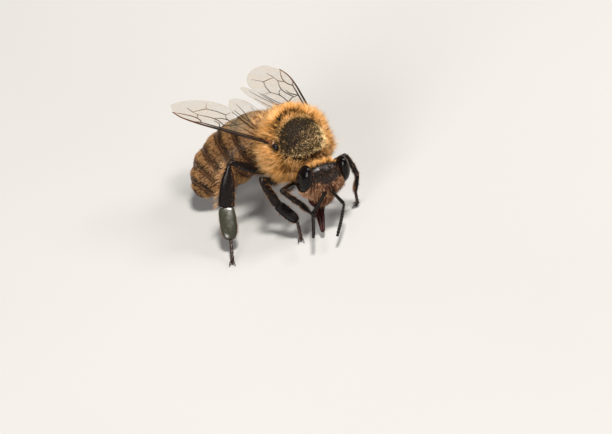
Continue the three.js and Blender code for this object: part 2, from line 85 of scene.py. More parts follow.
class Finish:
    """A material in the making, with its one Principled shader."""

    def __init__(self, name, sheen=0.5, **constants):
        self.material = bpy.data.materials.new(name)
        self.material.use_nodes = True
        self.tree = self.material.node_tree
        self.shader = self.tree.nodes["Principled BSDF"]
        for key, value in constants.items():
            self.shader.inputs[key.replace("_", " ")].default_value = value
        self.shader.inputs["Specular IOR Level"].default_value = sheen

    def node(self, kind, settings=None, sockets=None):
        """Adds a node, gives it its settings and then its sockets' values or links; returns its outputs."""
        made = self.tree.nodes.new(kind)
        for name, value in (settings or {}).items():
            if name == "stops":
                for k, (place, colour) in enumerate(value):
                    stop = made.color_ramp.elements[k] if k < 2 else made.color_ramp.elements.new(place)
                    stop.position = place
                    stop.color = (*colour, 1)
            else:
                setattr(made, name, value)
        for key, value in (sockets or {}).items():
            target = made.inputs[key]
            if isinstance(value, Wire):
                self.tree.links.new(value.socket, target)
            elif target.type == "RGBA" and len(value) == 3:
                target.default_value = (*value, 1)
            else:
                target.default_value = value
        outputs = {out.name: Wire(self, out) for out in made.outputs}
        return outputs | dict(enumerate(Wire(self, out) for out in made.outputs))

    def here(self, at=(0, 0, 0)):
        """The place on the piece in millimetres, from a point of it."""
        place = self.node("ShaderNodeTexCoord")["Object"]
        scale = {"Scale": (1 / millimetre,) * 3, "Location": tuple(-x for x in at)}
        return self.node("ShaderNodeMapping", sockets={"Vector": place} | scale)["Vector"]

    def reach(self, at):
        """The distance in millimetres from a point."""
        return self.node("ShaderNodeVectorMath", {"operation": "LENGTH"}, {0: self.here(at)})["Value"]

    def noise(self, scale, detail=3.0, stretch=None):
        place = self.here()
        if stretch:
            place = self.node("ShaderNodeMapping", sockets={"Vector": place, "Scale": stretch})["Vector"]
        sockets = {"Vector": place, "Scale": scale, "Detail": detail}
        return self.node("ShaderNodeTexNoise", sockets=sockets)["Fac"]

    def cells(self, scale):
        sockets = {"Vector": self.here(), "Scale": scale}
        return self.node("ShaderNodeTexVoronoi", sockets=sockets)["Distance"]

    def carried(self, name):
        """A number that the piece's mesh carries at each point."""
        return self.node("ShaderNodeAttribute", {"attribute_name": name})["Fac"]

    def ramp(self, factor, stops):
        return self.node("ShaderNodeValToRGB", {"stops": stops}, {"Fac": factor})["Color"]

    def fade(self, factor, low, high, start=0.0, end=1.0):
        """Goes smoothly from start to end as the factor goes from low to high."""
        sockets = {"Value": factor, "From Min": low, "From Max": high, "To Min": start, "To Max": end}
        return self.node("ShaderNodeMapRange", {"interpolation_type": "SMOOTHSTEP"}, sockets)["Result"]

    def blend(self, factor, first, second, how="MIX"):
        settings = {"data_type": "RGBA", "blend_type": how}
        return self.node("ShaderNodeMix", settings, {0: factor, 6: first, 7: second})[2]

    def wear(self, colour, roughness=None, bump=None, depth=0.01, alpha=None):
        """Links the finished patterns to the shader. depth is the height of a bump of 1, in millimetres."""
        normal = None
        if bump is not None:
            sockets = {"Height": bump, "Distance": depth * millimetre}
            normal = self.node("ShaderNodeBump", sockets=sockets)["Normal"]
        patterns = {"Base Color": colour, "Roughness": roughness, "Alpha": alpha, "Normal": normal}
        for name, pattern in patterns.items():
            if pattern is not None:
                self.tree.links.new(pattern.socket, self.shader.inputs[name])
        return self.material


bpy.ops.mesh.primitive_plane_add(size=3)
floor = bpy.context.object
floor.name = "floor"
paper = Finish("pale_floor", Roughness=0.85)
mottle = [(0.3, (0.33, 0.328, 0.322)), (0.7, (0.355, 0.352, 0.346))]
floor.data.materials.append(paper.wear(paper.ramp(paper.noise(0.02, 2), mottle)))


def soft_light(name, offset, size, power, colour):
    """A square light that faces the bee from an offset in metres."""
    bpy.ops.object.light_add(type="AREA", location=looking_at + Vector(offset))
    light = bpy.context.object
    light.name = name
    light.data.size = size
    light.data.energy = power
    light.data.color = colour
    light.rotation_euler = Vector(offset).to_track_quat("Z", "Y").to_euler()


soft_light("key_light", (0.06, 0.07, 0.37), 0.07, 2.5, (1.0, 0.96, 0.9))
soft_light("side_light", (0.08, 0.29, 0.24), 0.1, 1.0, (1.0, 0.96, 0.92))
soft_light("front_light", (0.18, -0.28, 0.16), 0.18, 1.35, (1.0, 0.97, 0.94))
surroundings = bpy.data.worlds.new("surroundings")
surroundings.use_nodes = True
background = surroundings.node_tree.nodes["Background"]
background.inputs["Color"].default_value = (0.9, 0.93, 1.0, 1)
background.inputs["Strength"].default_value = 0.12
bpy.context.scene.world = surroundings

bpy.ops.object.camera_add(location=looking_at + to_camera * camera_distance)
camera = bpy.context.object
camera.rotation_euler = Matrix((camera_right, camera_up, to_camera)).transposed().to_euler()
camera.data.lens = 211
camera.data.clip_start = 0.01
bpy.context.scene.camera = camera
bpy.context.scene.view_settings.view_transform = "Standard"

# ---------------------------------------------------------------------------------------------- the trunk
# The thorax is a nearly round box of hard black shell. Its crown is one large smooth disc, and behind
# that stands the scutellum, a narrow raised cushion. A collar closes it in front, a short neck behind that.

under_trunk = Vector((1.4939, 1.8771, 0))
trunk_centre = under_trunk + Vector((0, 0, 4.8))
trunk_pitch = math.radians(25)
trunk_roll = math.radians(-4.9)
trunk_place = (
    Matrix.Translation(trunk_centre)
    @ Matrix.Rotation(trunk_pitch, 4, "Y")
    @ Matrix.Rotation(trunk_roll, 4, "X")
)
trunk_radii = (2.02, 1.96, 1.93)


def bulb(at, radii, lean=0.0, around=32):
    """A round swelling of the shell, in its own part's frame."""
    bpy.ops.mesh.primitive_uv_sphere_add(
        segments=around, ring_count=around // 2, radius=1, location=at, rotation=(lean, 0, 0), scale=radii
    )
    return bpy.context.object


def fuse(name, lumps, grain, smoothing):
    """Joins lumps into one continuous shell with an even grain, and eases the creases between them."""
    bpy.ops.object.select_all(action="DESELECT")
    for lump in lumps:
        lump.select_set(True)
    whole = lumps[0]
    bpy.context.view_layer.objects.active = whole
    bpy.ops.object.join()
    bpy.ops.object.transform_apply()
    whole.name = name
    shrink = whole.modifiers.new("shell", "REMESH")
    shrink.mode = "VOXEL"
    shrink.voxel_size = grain
    bpy.ops.object.modifier_apply(modifier="shell")
    ease = whole.modifiers.new("ease", "SMOOTH")
    ease.factor = 0.5
    ease.iterations = smoothing
    bpy.ops.object.modifier_apply(modifier="ease")
    bpy.ops.object.shade_smooth()
    return whole


def settle(piece, finish, place=Matrix(), stands_for=()):
    """Puts a piece in its place in metres, on the bee's one body, in its finish."""
    piece.matrix_world = Matrix.Scale(millimetre, 4) @ place @ piece.matrix_world
    bpy.ops.object.select_all(action="DESELECT")
    piece.select_set(True)
    bpy.context.view_layer.objects.active = piece
    bpy.ops.object.transform_apply()
    piece.data.materials.clear()
    piece.data.materials.append(finish)
    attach(piece, "root")
    if stands_for:
        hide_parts(*stands_for)
    return piece


trunk = fuse(
    "thorax_shell",
    [
        bulb((0, 0, 0), trunk_radii, around=96),
        bulb((-1.3, 0, 1.1), (0.66, 0.98, 0.52)),  # scutellum
        bulb((1.22, 0, 0.55), (0.72, 1.5, 1.18)),  # collar
        bulb((2.0, 0, -0.35), (0.55, 0.62, 0.62)),  # neck
        bulb((-1.85, 0, 0.0), (0.4, 0.5, 0.5)),  # waist
    ],
    grain=0.06,
    smoothing=6,
)
shell = Finish("thorax_shell", sheen=0.05)
grain = shell.noise(9, 6)
pits = shell.cells(14)
shell_colour = shell.ramp(grain, [(0.35, (0.004, 0.003, 0.002)), (0.7, (0.02, 0.013, 0.007))])
settle(
    trunk,
    shell.wear(shell_colour, shell.fade(grain, 0.3, 0.7, 0.42, 0.6), pits + grain * 0.5, depth=0.02),
    trunk_place,
    ["thorax"],
)

# ---------------------------------------------------------------------------------------------- the head
# The head is a flat triangular capsule, broad across the eyes and narrow at the mouth. Its face bulges
# into the clypeus, with the labrum hinged under it, and three bead-like simple eyes stand on its crown.

head_place = (
    Matrix.Translation(under_trunk + Vector((2.66, -0.03, 3.38)))
    @ Matrix.Rotation(math.radians(-8), 4, "Z")
    @ Matrix.Rotation(math.radians(18), 4, "Y")
    @ Matrix.Rotation(math.radians(-14.5), 4, "X")
)
head_half = (0.84, 1.64, 1.56)
chin_share = 0.54  # of the width
crown_share = 0.85  # of the upper half height
face_share, nape_share = 1.1, 0.84  # of the half depth, in front and behind
one_row = 0.004
past_middle = 0.001


def pick(piece, test):
    """Selects the points of a piece in edit mode that pass a test."""
    edit = bmesh.from_edit_mesh(piece.data)
    edit.select_flush(False)
    for vertex in edit.verts:
        vertex.select = test(vertex)
    edit.select_flush(True)
    bmesh.update_edit_mesh(piece.data)


capsule = bulb((0, 0, 0), head_half, around=64)
bpy.ops.object.mode_set(mode="EDIT")
rings = 32
for k in range(rings // 2 + 1, rings):
    height = math.cos(math.pi * k / rings)
    pick(capsule, lambda vertex, z=height * head_half[2]: abs(vertex.co.z - z) < one_row)
    narrowing = 1 - (1 - chin_share) * height * height
    bpy.ops.transform.resize(value=(1, narrowing, 1), center_override=(0, 0, 0))
for way, size in (
    (Vector((0, 0, 1)), (1, 1, crown_share)),
    (Vector((1, 0, 0)), (face_share, 1, 1)),
    (Vector((-1, 0, 0)), (nape_share, 1, 1)),
):
    pick(capsule, lambda vertex, way=way: vertex.co.dot(way) > past_middle)
    bpy.ops.transform.resize(value=size, center_override=(0, 0, 0))
bpy.ops.object.mode_set(mode="OBJECT")
capsule = fuse(
    "head_shell",
    [
        capsule,
        bulb((0.56, 0, -0.72), (0.5, 0.62, 0.78)),  # clypeus
        bulb((0.56, 0, -1.52), (0.24, 0.42, 0.26)),  # labrum
        bulb((0.86, 0.27, -0.16), (0.15, 0.19, 0.19)),  # the feelers' sockets
        bulb((0.86, -0.27, -0.16), (0.15, 0.19, 0.19)),
    ],
    grain=0.045,
    smoothing=4,
)
face = Finish("face_shell", sheen=0.25)
face_grain = face.noise(12, 5)
settle(
    capsule,
    face.wear(
        face.ramp(face_grain, [(0.3, (0.004, 0.0035, 0.003)), (0.75, (0.016, 0.011, 0.008))]),
        face.fade(face_grain, 0.3, 0.7, 0.2, 0.36),
        face.cells(18) + face_grain * 0.4,
        depth=0.006,
    ),
    head_place,
    ["head"],
)

# The compound eyes: tall glossy domes down the sides of the head, made of thousands of tiny lenses.
eye_centre = (0.09, 1.37, 0.56)
eye_radii = (0.68, 0.44, 1.06)
eye_lean = math.radians(7)
lens = Finish("eye_lens", sheen=0.16)
facets = lens.cells(26)
eye_finish = lens.wear(
    lens.ramp(lens.noise(1.3, 2), [(0.35, (0.0015, 0.0012, 0.0012)), (0.7, (0.005, 0.003, 0.0025))]),
    lens.fade(facets, 0.0, 0.7, 0.06, 0.14),
    facets,
    depth=0.002,
)


def in_order(piece):
    """Numbers a piece's points and faces by their place. Operators leave that order to chance, and hair
    is set on the faces by number."""
    mesh = piece.data
    places = [tuple(vertex.co) for vertex in mesh.vertices]
    ranked = sorted(range(len(places)), key=places.__getitem__)
    rank = {old: new for new, old in enumerate(ranked)}
    faces = []
    for polygon in mesh.polygons:
        corners = [rank[old] for old in polygon.vertices]
        first = corners.index(min(corners))
        faces.append(corners[first:] + corners[:first])
    mesh.clear_geometry()
    mesh.from_pydata([places[old] for old in ranked], [], sorted(faces))
    return piece


def dome(name, at, radii, lean=0.0, around=24):
    """A smooth bulb that is a piece of its own."""
    made = in_order(bulb(at, radii, lean, around))
    bpy.ops.object.shade_smooth()
    made.name = name
    return made


eyes = []
for side, sign in (("left", 1), ("right", -1)):
    at = (eye_centre[0], sign * eye_centre[1], eye_centre[2])
    eye = dome(f"compound_eye_{side}", at, eye_radii, sign * eye_lean, around=80)
    eyes.append(settle(eye, eye_finish, head_place, [f"eye_{side}"]))

bead = Finish("simple_eye", Roughness=0.12)
bead_finish = bead.wear(bead.ramp(bead.noise(6), [(0.3, (0.008, 0.005, 0.004)), (0.7, (0.03, 0.015, 0.01))]))
for k, at in enumerate(((0.36, 0, 1.25), (0.18, 0.3, 1.31), (0.18, -0.3, 1.31))):
    settle(dome(f"simple_eye_{k + 1}", at, (0.12,) * 3), bead_finish, head_place)

# ---------------------------------------------------------------------------------------------- the feelers
# Each feeler is a smooth straight scape, then a short pedicel at the elbow and ten small drum-shaped
# joints, hinged on membrane, that narrow at each join. All of it is satin black.


class Course:
    """A smooth line through points, measured by shares of its length."""

    def __init__(self, points):
        p = np.array([tuple(point) for point in points], float)
        p = np.vstack([2 * p[0] - p[1], p, 2 * p[-1] - p[-2]])
        found = []
        for k in range(1, len(p) - 2):
            x0, x1, x2, x3 = p[k - 1 : k + 3]
            d0, d1, d2 = (max(np.linalg.norm(b - a) ** 0.5, 1e-4) for a, b in ((x0, x1), (x1, x2), (x2, x3)))
            out = ((x1 - x0) / d0 - (x2 - x0) / (d0 + d1) + (x2 - x1) / d1) * d1
            into = ((x2 - x1) / d1 - (x3 - x1) / (d1 + d2) + (x3 - x2) / d2) * d1
            t = np.linspace(0, 1, 80)[:, None]
            cubic = (2 * x1 - 2 * x2 + out + into) * t + (3 * x2 - 3 * x1 - 2 * out - into)
            found.append(x1 + t * (out + t * cubic))
        self.line = np.vstack(found)
        steps = np.linalg.norm(np.diff(self.line, axis=0), axis=1)
        self.shares = np.concatenate([[0], np.cumsum(steps)])
        self.length = self.shares[-1]
        self.shares /= self.length

    def at(self, share):
        return Vector([np.interp(share, self.shares, self.line[:, k]) for k in range(3)])

    def ahead(self, share):
        return (self.at(min(share + 0.004, 1)) - self.at(max(share - 0.004, 0))).normalized()


def limb(name, course, stations, facing, around=16):
    """A closed limb: one ring of points extruded from station to station along a course.
    Each station is a share of the length, a width and a thickness; the thin side faces as told."""
    bpy.ops.object.select_all(action="DESELECT")
    form = None
    centre = turn = size = None
    for share, width, thickness in stations:
        ahead = course.ahead(share)
        side = Vector(facing).cross(ahead).normalized()
        new_centre = course.at(share)
        new_turn = Matrix((side, ahead.cross(side), ahead)).transposed().to_euler()
        new_size = (width / 2, thickness / 2)
        if form is None:
            bpy.ops.mesh.primitive_circle_add(vertices=around, radius=1, location=new_centre)
            form = bpy.context.object
            form.name = name
            bpy.ops.object.transform_apply()
            bpy.ops.object.mode_set(mode="EDIT")
            ratio = new_size
        else:
            bpy.ops.mesh.extrude_region_move()
            for axis, angle in zip("ZYX", reversed(turn)):
                bpy.ops.transform.rotate(value=angle, orient_axis=axis, center_override=centre)
            bpy.ops.transform.translate(value=new_centre - centre)
            ratio = (new_size[0] / size[0], new_size[1] / size[1])
        bpy.ops.transform.resize(value=(*ratio, 1), center_override=new_centre)
        for axis, angle in zip("XYZ", new_turn):
            bpy.ops.transform.rotate(value=-angle, orient_axis=axis, center_override=new_centre)
        centre, turn, size = new_centre, new_turn, new_size
    bpy.ops.mesh.merge(type="CENTER")
    pick(form, lambda vertex: vertex.index < around)
    bpy.ops.mesh.merge(type="CENTER")
    bpy.ops.mesh.select_all(action="SELECT")
    bpy.ops.mesh.normals_make_consistent(inside=False)
    bpy.ops.object.mode_set(mode="OBJECT")
    in_order(form)
    bpy.ops.object.shade_smooth()
    return form


def rounded(width, thickness, start, end, steps=5, lip=0.08):
    """Stations of one drum-shaped joint with rounded ends."""
    rows = []
    for k in range(steps + 1):
        share = k / steps
        swell = min(1.0, math.sin(math.pi * (lip + (1 - 2 * lip) * share)) ** 0.35)
        rows.append((start + (end - start) * share, width * swell, thickness * swell))
    return rows


def bee_points(points):
    """Places given from the point under the trunk."""
    return [under_trunk + Vector(point) for point in points]


def cuticle(name, sheen, grain, stops, roughness, depth, surface=None):
    """Plain shell. One grain, given by its scale and detail, shifts its colour and its roughness. Its
    surface has the same grain, or a finer one of its own."""
    made = Finish(name, sheen)
    grain = made.noise(*grain)
    bump = made.noise(*surface) if surface else grain
    return made.wear(made.ramp(grain, stops), made.fade(grain, 0.3, 0.7, *roughness), bump, depth)


feelers = {
    "left": ((3.6, 0.05, 2.8), (3.98, 0.46, 1.72), (5.46, -1.23, 0.89)),
    "right": ((3.56, -0.48, 2.93), (3.36, -1.56, 1.78), (5.01, -2.64, 1.39)),
}
drums = 9  # joints of one shape, after the first
first_drum, drum_pitch, drum_length = 0.175, 0.0917, 0.0905  # shares of the whip
black_stops = [(0.3, (0.003, 0.0025, 0.0025)), (0.75, (0.012, 0.008, 0.006))]
feeler_finish = cuticle("feeler_black", 0.1, (22, 4), black_stops, (0.34, 0.52), 0.006)
head_front = head_place.to_3x3() @ Vector((1, 0, 0))
for side, points in feelers.items():
    socket, elbow, tip = bee_points(points)
    root = socket + (socket - elbow).normalized() * 0.18
    scape = limb(
        f"feeler_scape_{side}",
        Course([root, (socket + elbow) / 2 + head_front * 0.04, elbow]),
        [
            (0, 0.1, 0.1), (0.05, 0.19, 0.19), (0.1, 0.15, 0.15), (0.2, 0.19, 0.19),
            (0.5, 0.22, 0.22), (0.85, 0.25, 0.24), (0.96, 0.23, 0.22), (1, 0.1, 0.1),
        ],
        head_front,
    )
    settle(scape, feeler_finish, stands_for=[f"scape_{side}"])
    whip = Course([elbow, (elbow + tip) / 2 + head_front * 0.06, tip])
    joints = rounded(0.2, 0.2, 0.0, 0.07) + rounded(0.19, 0.19, 0.075, 0.17)
    for k in range(drums):
        start = first_drum + k * drum_pitch
        width = 0.235 - 0.004 * abs(k - drums // 2) - (0.03 if k == drums - 1 else 0)
        joints += rounded(width, width, start, start + drum_length, lip=0.12)
    flagellum = limb(f"feeler_whip_{side}", whip, joints, head_front)
    settle(flagellum, feeler_finish, stands_for=[f"flagellum_{side}"])

# ---------------------------------------------------------------------------------------------- the mouth
# Spoon-shaped mandibles hang at the sides of the mouth. Between them the tongue's sheath, two long
# red-brown blades lying edge to edge, runs down to a point with the tongue's tip showing past it.

amber_stops = [(0.3, (0.007, 0.0016, 0.0014)), (0.7, (0.034, 0.006, 0.0045))]
amber_finish = cuticle("mouth_brown", 0.1, (7, 4, (1, 1, 0.35)), amber_stops, (0.34, 0.5), 0.008)
jaw_line = ((0.3, 0.78, -1.14), (0.52, 0.7, -1.48), (0.66, 0.38, -1.8), (0.66, 0.22, -1.88))
for side, sign in (("left", 1), ("right", -1)):
    jaw = limb(
        f"jaw_{side}",
        Course([head_place @ Vector((x, sign * y, z)) for x, y, z in jaw_line]),
        [
            (0, 0.2, 0.16), (0.1, 0.36, 0.3), (0.3, 0.38, 0.28), (0.5, 0.32, 0.24),
            (0.75, 0.36, 0.24), (0.92, 0.34, 0.18), (1, 0.16, 0.1),
        ],
        head_front,
    )
    settle(jaw, amber_finish, stands_for=[f"mandible_{side}"])

mouth = head_place @ Vector((0.5, 0, -1.6))
tongue_bend = head_place @ Vector((0.7, -0.1, -2.3))
tongue_tip = under_trunk + Vector((3.97, -1.48, 0.43))
tongue_facing = Vector((0.7359, -0.2978, 0.6081))  # forward, up and a little to the right
tongue_way = (tongue_tip - tongue_bend).normalized()
tongue_side = tongue_facing.cross(tongue_way).normalized()
for side, sign in (("left", 1), ("right", -1)):
    drift = tongue_side * sign
    blade = limb(
        f"tongue_sheath_{side}",
        Course([
            mouth + drift * 0.14,
            tongue_bend + drift * 0.13,
            (tongue_bend + tongue_tip) / 2 + drift * 0.1,
            tongue_tip - tongue_way * 0.1 + drift * 0.05,
        ]),
        [
            (0, 0.28, 0.3), (0.15, 0.34, 0.32), (0.35, 0.34, 0.3), (0.6, 0.28, 0.26),
            (0.85, 0.2, 0.2), (0.95, 0.17, 0.16), (1, 0.08, 0.08),
        ],
        tongue_facing,
    )
    settle(blade, amber_finish, stands_for=["proboscis"] if sign > 0 else ())
tongue = limb(
    "tongue",
    Course([mouth, tongue_bend, tongue_tip]),
    [(0, 0.12, 0.12), (0.4, 0.14, 0.14), (0.8, 0.09, 0.09), (0.95, 0.07, 0.07), (1, 0.04, 0.04)],
    tongue_facing,
)
settle(tongue, amber_finish)

# ---------------------------------------------------------------------------------------------- the abdomen
# Six overlapping ring plates telescope into each other from the narrow waist to the pointed tail. Each
# stands a little over the next, and is brown in front and black towards its rear rim.

abdomen_line = ((-1.95, -0.05, 5.0), (-3.84, -1.24, 3.74), (-5.03, -3.7, 2.16), (-5.0, -5.65, 1.12))
abdomen_course = Course(bee_points(abdomen_line))
abdomen_up = trunk_place.to_3x3() @ Vector((0, 0, 1))
plumpness = np.array([
    (0, 0.44), (0.03, 0.8), (0.05, 1.4), (0.12, 2.5), (0.24, 3.45), (0.4, 3.8),
    (0.58, 3.8), (0.76, 3.3), (0.9, 2.2), (0.97, 1.2), (1, 0.3),
])
plate_edges = (0.03, 0.15, 0.34, 0.52, 0.68, 0.82, 0.93, 0.99)
rim = 0.07  # of each plate over the next
flatter = 0.97  # height of its width
plate_steps = 8
most_stops = 32  # in one colour ramp


def girth(share):
    """The abdomen's smooth width at a share of its length."""
    around_share = np.clip([share - 0.02, share, share + 0.02], 0, 1)
    return float(np.mean(np.interp(around_share, plumpness[:, 0], plumpness[:, 1])))


def numbers(rows, name, kind=float):
    """Three numbers of every point or triangle of a mesh, as the rows of an array."""
    values = np.empty(len(rows) * 3, kind)
    rows.foreach_get(name, values)
    return values.reshape(-1, 3)


def along_course(course, points, batch=5000):
    """Each point's share of the course's length, and its offset from the course."""
    nearest = np.concatenate([
        np.linalg.norm(points[k : k + batch, None] - course.line[None], axis=2).argmin(axis=1)
        for k in range(0, len(points), batch)
    ])
    return course.shares[nearest], points - course.line[nearest]


def carry(mesh, name, values):
    """Gives each point of a mesh a number for its finish to read."""
    mesh.attributes.new(name, "FLOAT", "POINT").data.foreach_set("value", values.astype(np.float32))


plates = [(0.0, 0.4, 0.4), (0.012, 0.46, 0.46)]
for front, rear in zip(plate_edges, plate_edges[1:]):
    for k in range(plate_steps + 1):
        along = k / plate_steps
        share = front + (rear - front) * along * 0.985
        width = girth(share) + rim * (2.2 * min(along * 1.6, 1) - 1.1) - (0.04 if k == plate_steps else 0)
        plates.append((share, width - 0.06, (width - 0.06) * flatter))
plates.append((1, 0.2, 0.2))
abdomen = limb("abdomen_plates", abdomen_course, plates, abdomen_up, around=72)
carry(abdomen.data, "share_along", along_course(abdomen_course, numbers(abdomen.data.vertices, "co"))[0])
banded = Finish("abdomen_plates", sheen=0.1)
band_grain = banded.noise(5, 5)
brown, dark, tan = (0.05, 0.024, 0.011), (0.006, 0.005, 0.004), (0.13, 0.05, 0.016)
stops = [(0.0, dark)]
for front, rear in zip(plate_edges, plate_edges[1:]):
    for share, shade in ((0.08, brown), (0.5, brown), (0.64, dark), (0.9, dark), (0.97, tan)):
        stops.append((front + (rear - front) * share, shade))
bands = banded.ramp(banded.carried("share_along") + (band_grain - 0.5) * 0.02, stops[:most_stops])
cloud = banded.ramp(banded.noise(1.6, 5), [(0.35, (0.005, 0.004, 0.003)), (0.7, (0.07, 0.032, 0.014))])
banded_finish = banded.wear(
    banded.blend(0.5, bands, cloud),
    banded.fade(band_grain, 0.3, 0.7, 0.3, 0.46),
    banded.noise(24, 4),
    depth=0.006,
)
settle(abdomen, banded_finish, stands_for=["abdomen"])

# ---------------------------------------------------------------------------------------------- the wings
# Two pairs of clear membranes, hooked together in flight, on a net of red-brown veins. The front edge
# is a thick double vein, and a glossy black scale, the tegula, covers each forewing's root.

# Each wing's root, the ways out and back along it, and the degrees that its hindwing is turned.
wing_roots = {
    "right": ((0.36, -1.64, 5.92), (-0.911, -0.407, 0.06), (-0.409, 0.877, -0.254), -14),
    "left": ((0.29, 1.77, 5.42), (-0.965, 0.248, -0.088), (-0.263, -0.919, 0.295), 12),
}
# Outlines and veins run out from the root and back from the front edge; a vein's thickness comes first.
forewing = {
    "outline": [
        (0, 0), (1.6, -0.12), (4.2, -0.16), (6.0, -0.2), (7.4, -0.06), (8.4, 0.28),
        (8.8, 0.72), (8.72, 1.4), (8.2, 2.15), (7.3, 2.75), (6.3, 2.95), (5.5, 2.62),
        (5.0, 2.2), (3.0, 1.3), (1.2, 0.68), (0, 0.42),
    ],
    "veins": [
        (0.075, [(0.1, 0.02), (2.2, -0.05), (4.2, -0.1), (5.9, -0.12), (7.3, 0.0), (8.2, 0.3)]),
        (0.06, [(0.2, 0.2), (3.0, 0.14), (4.6, 0.1), (5.7, 0.08), (6.2, -0.04)]),
        (0.045, [(4.3, 0.14), (4.7, 0.6), (5.2, 0.72)]),
        (0.045, [(5.7, 0.08), (6.04, 0.34), (6.6, 0.5), (7.4, 0.44), (8.1, 0.3)]),
        (0.05, [(0.3, 0.26), (1.42, 0.34), (2.4, 0.68), (3.5, 1.0)]),
        (0.045, [(3.5, 1.0), (4.05, 0.6), (4.3, 0.14)]),
        (0.04, [(4.2, 0.5), (5.0, 0.9), (5.7, 0.98), (6.6, 0.89), (7.08, 1.0)]),
        (0.04, [(3.5, 1.0), (4.5, 1.3), (5.0, 1.79), (4.95, 2.15)]),
        (0.04, [(4.52, 1.3), (5.0, 1.23), (5.4, 0.96)]),
        (0.05, [(0.35, 0.36), (1.44, 0.72), (2.76, 1.26), (4.12, 1.98), (4.95, 2.36)]),
        (0.035, [(3.3, 1.5), (3.5, 1.0)]),
        (0.035, [(5.0, 1.79), (5.9, 1.9), (6.59, 1.87), (7.09, 2.5)]),
        (0.035, [(6.59, 1.87), (6.9, 1.4), (7.08, 1.0)]),
        (0.035, [(6.6, 0.89), (6.3, 0.42)]),
        (0.03, [(7.08, 1.0), (7.8, 1.3)]),
    ],
}
hindwing = {
    "hook": [(0.2, 0.6), (4.9, 2.35)],
    "outline": [
        (0.2, 0.72), (1.2, 0.96), (3.0, 1.6), (4.9, 2.46), (5.5, 2.94), (5.9, 3.4), (5.6, 3.75),
        (4.7, 3.65), (3.7, 3.25), (2.6, 2.75), (1.6, 2.2), (0.8, 1.5),
    ],
    "veins": [
        (0.05, [(0.3, 0.8), (1.3, 1.06), (2.8, 1.62), (4.2, 2.24), (4.9, 2.56)]),
        (0.035, [(2.9, 1.66), (4.0, 2.5), (5.2, 3.2)]),
        (0.035, [(0.5, 0.98), (1.8, 1.8), (2.9, 2.55), (4.0, 3.2)]),
        (0.03, [(0.6, 1.2), (1.7, 2.1)]),
    ],
}
film_thickness = 0.03
front_edge = 0.06  # thickness of the stout veins there
vein_step = 0.12
root_glow = (2.0, 4.4)  # from the trunk's centre, over which the amber tint fades


def wing_place(side, hook=None):
    """Where a wing lies. A hindwing is turned a little about the line where it hooks on."""
    root, out, chord, lift = wing_roots[side]
    x = Vector(out).normalized()
    z = Vector(out).cross(Vector(chord)).normalized()
    turn = Matrix((x, z.cross(x), z)).transposed().to_4x4()
    place = Matrix.Translation(under_trunk + Vector(root)) @ turn
    if hook is None:
        return place
    start, end = (Vector((*point, 0)) for point in hook)
    turn = Matrix.Rotation(math.radians(lift), 4, (end - start).normalized())
    return place @ Matrix.Translation(start) @ turn @ Matrix.Translation(-start)


def spread(outline, columns=56):
    """A wing's stations from root to tip, read from its outline's front and rear edges."""
    x, y = Course([(*point, 0) for point in (*outline, outline[0])]).line[:, :2].T
    low, high = x.min() + 0.02, x.max() - 0.002
    rows = []
    for k in range(columns):
        place = high - (high - low) * (1 - k / (columns - 1)) ** 1.7
        crossings = []
        for a in range(len(x) - 1):
            if (x[a] - place) * (x[a + 1] - place) <= 0 and x[a] != x[a + 1]:
                crossings.append(y[a] + (y[a + 1] - y[a]) * (place - x[a]) / (x[a + 1] - x[a]))
        rows.append((place, min(crossings), max(crossings)))
    return rows


def vein_net(name, veins):
    """A wing's veins: round tubes, each a little thinner towards its tip, joined in one piece."""
    bpy.ops.object.select_all(action="DESELECT")
    tubes = []
    for thickness, line in veins:
        curve = bpy.data.curves.new("vein", "CURVE")
        curve.dimensions = "3D"
        curve.bevel_depth = thickness * (1 if thickness >= front_edge else 0.8)
        curve.bevel_resolution = 2
        curve.use_fill_caps = True
        spline = curve.splines.new("POLY")
        dense = Course([(*point, 0) for point in line])
        count = max(8, int(dense.length / vein_step))
        spline.points.add(count - 1)
        for k in range(count):
            share = k / (count - 1)
            spline.points[k].co = (*dense.at(share), 1)
            spline.points[k].radius = 1 - 0.2 * share - 0.4 * share**3
        tube = bpy.data.objects.new("vein", curve)
        bpy.context.collection.objects.link(tube)
        tube.select_set(True)
        tubes.append(tube)
    bpy.context.view_layer.objects.active = tubes[0]
    bpy.ops.object.convert(target="MESH")
    bpy.ops.object.join()
    net = bpy.context.object
    net.name = name
    bpy.ops.object.shade_smooth()
    return net


film = Finish("wing_membrane", sheen=0.4)
film_cloud = film.noise(1.1, 3)
film_wrinkle = film.noise(3, 2)
film_reach = film.reach(trunk_centre)
film_tint = film.ramp(film_cloud, [(0.3, (0.19, 0.14, 0.08)), (0.7, (0.33, 0.26, 0.17))])
film_finish = film.wear(
    film.blend(film.fade(film_reach, *root_glow), (0.28, 0.12, 0.045), film_tint),
    film.fade(film_wrinkle, 0.3, 0.7, 0.16, 0.3),
    film_wrinkle,
    depth=0.03,
    alpha=film.fade(film_cloud, 0.3, 0.7, 0.13, 0.24) + film.fade(film_reach, *root_glow, 0.22, 0.0),
)
ribs = Finish("wing_veins", sheen=0.2)
rib_grain = ribs.noise(8, 3)
rib_by_root = ribs.ramp(rib_grain, [(0.3, (0.004, 0.003, 0.003)), (0.7, (0.018, 0.008, 0.005))])
rib_by_tip = ribs.ramp(rib_grain, [(0.3, (0.05, 0.016, 0.006)), (0.7, (0.16, 0.055, 0.018))])
rib_finish = ribs.wear(
    ribs.blend(ribs.fade(ribs.reach(trunk_centre), 5.0, 8.5), rib_by_root, rib_by_tip),
    ribs.fade(rib_grain, 0.3, 0.7, 0.3, 0.5),
    rib_grain,
    depth=0.01,
)
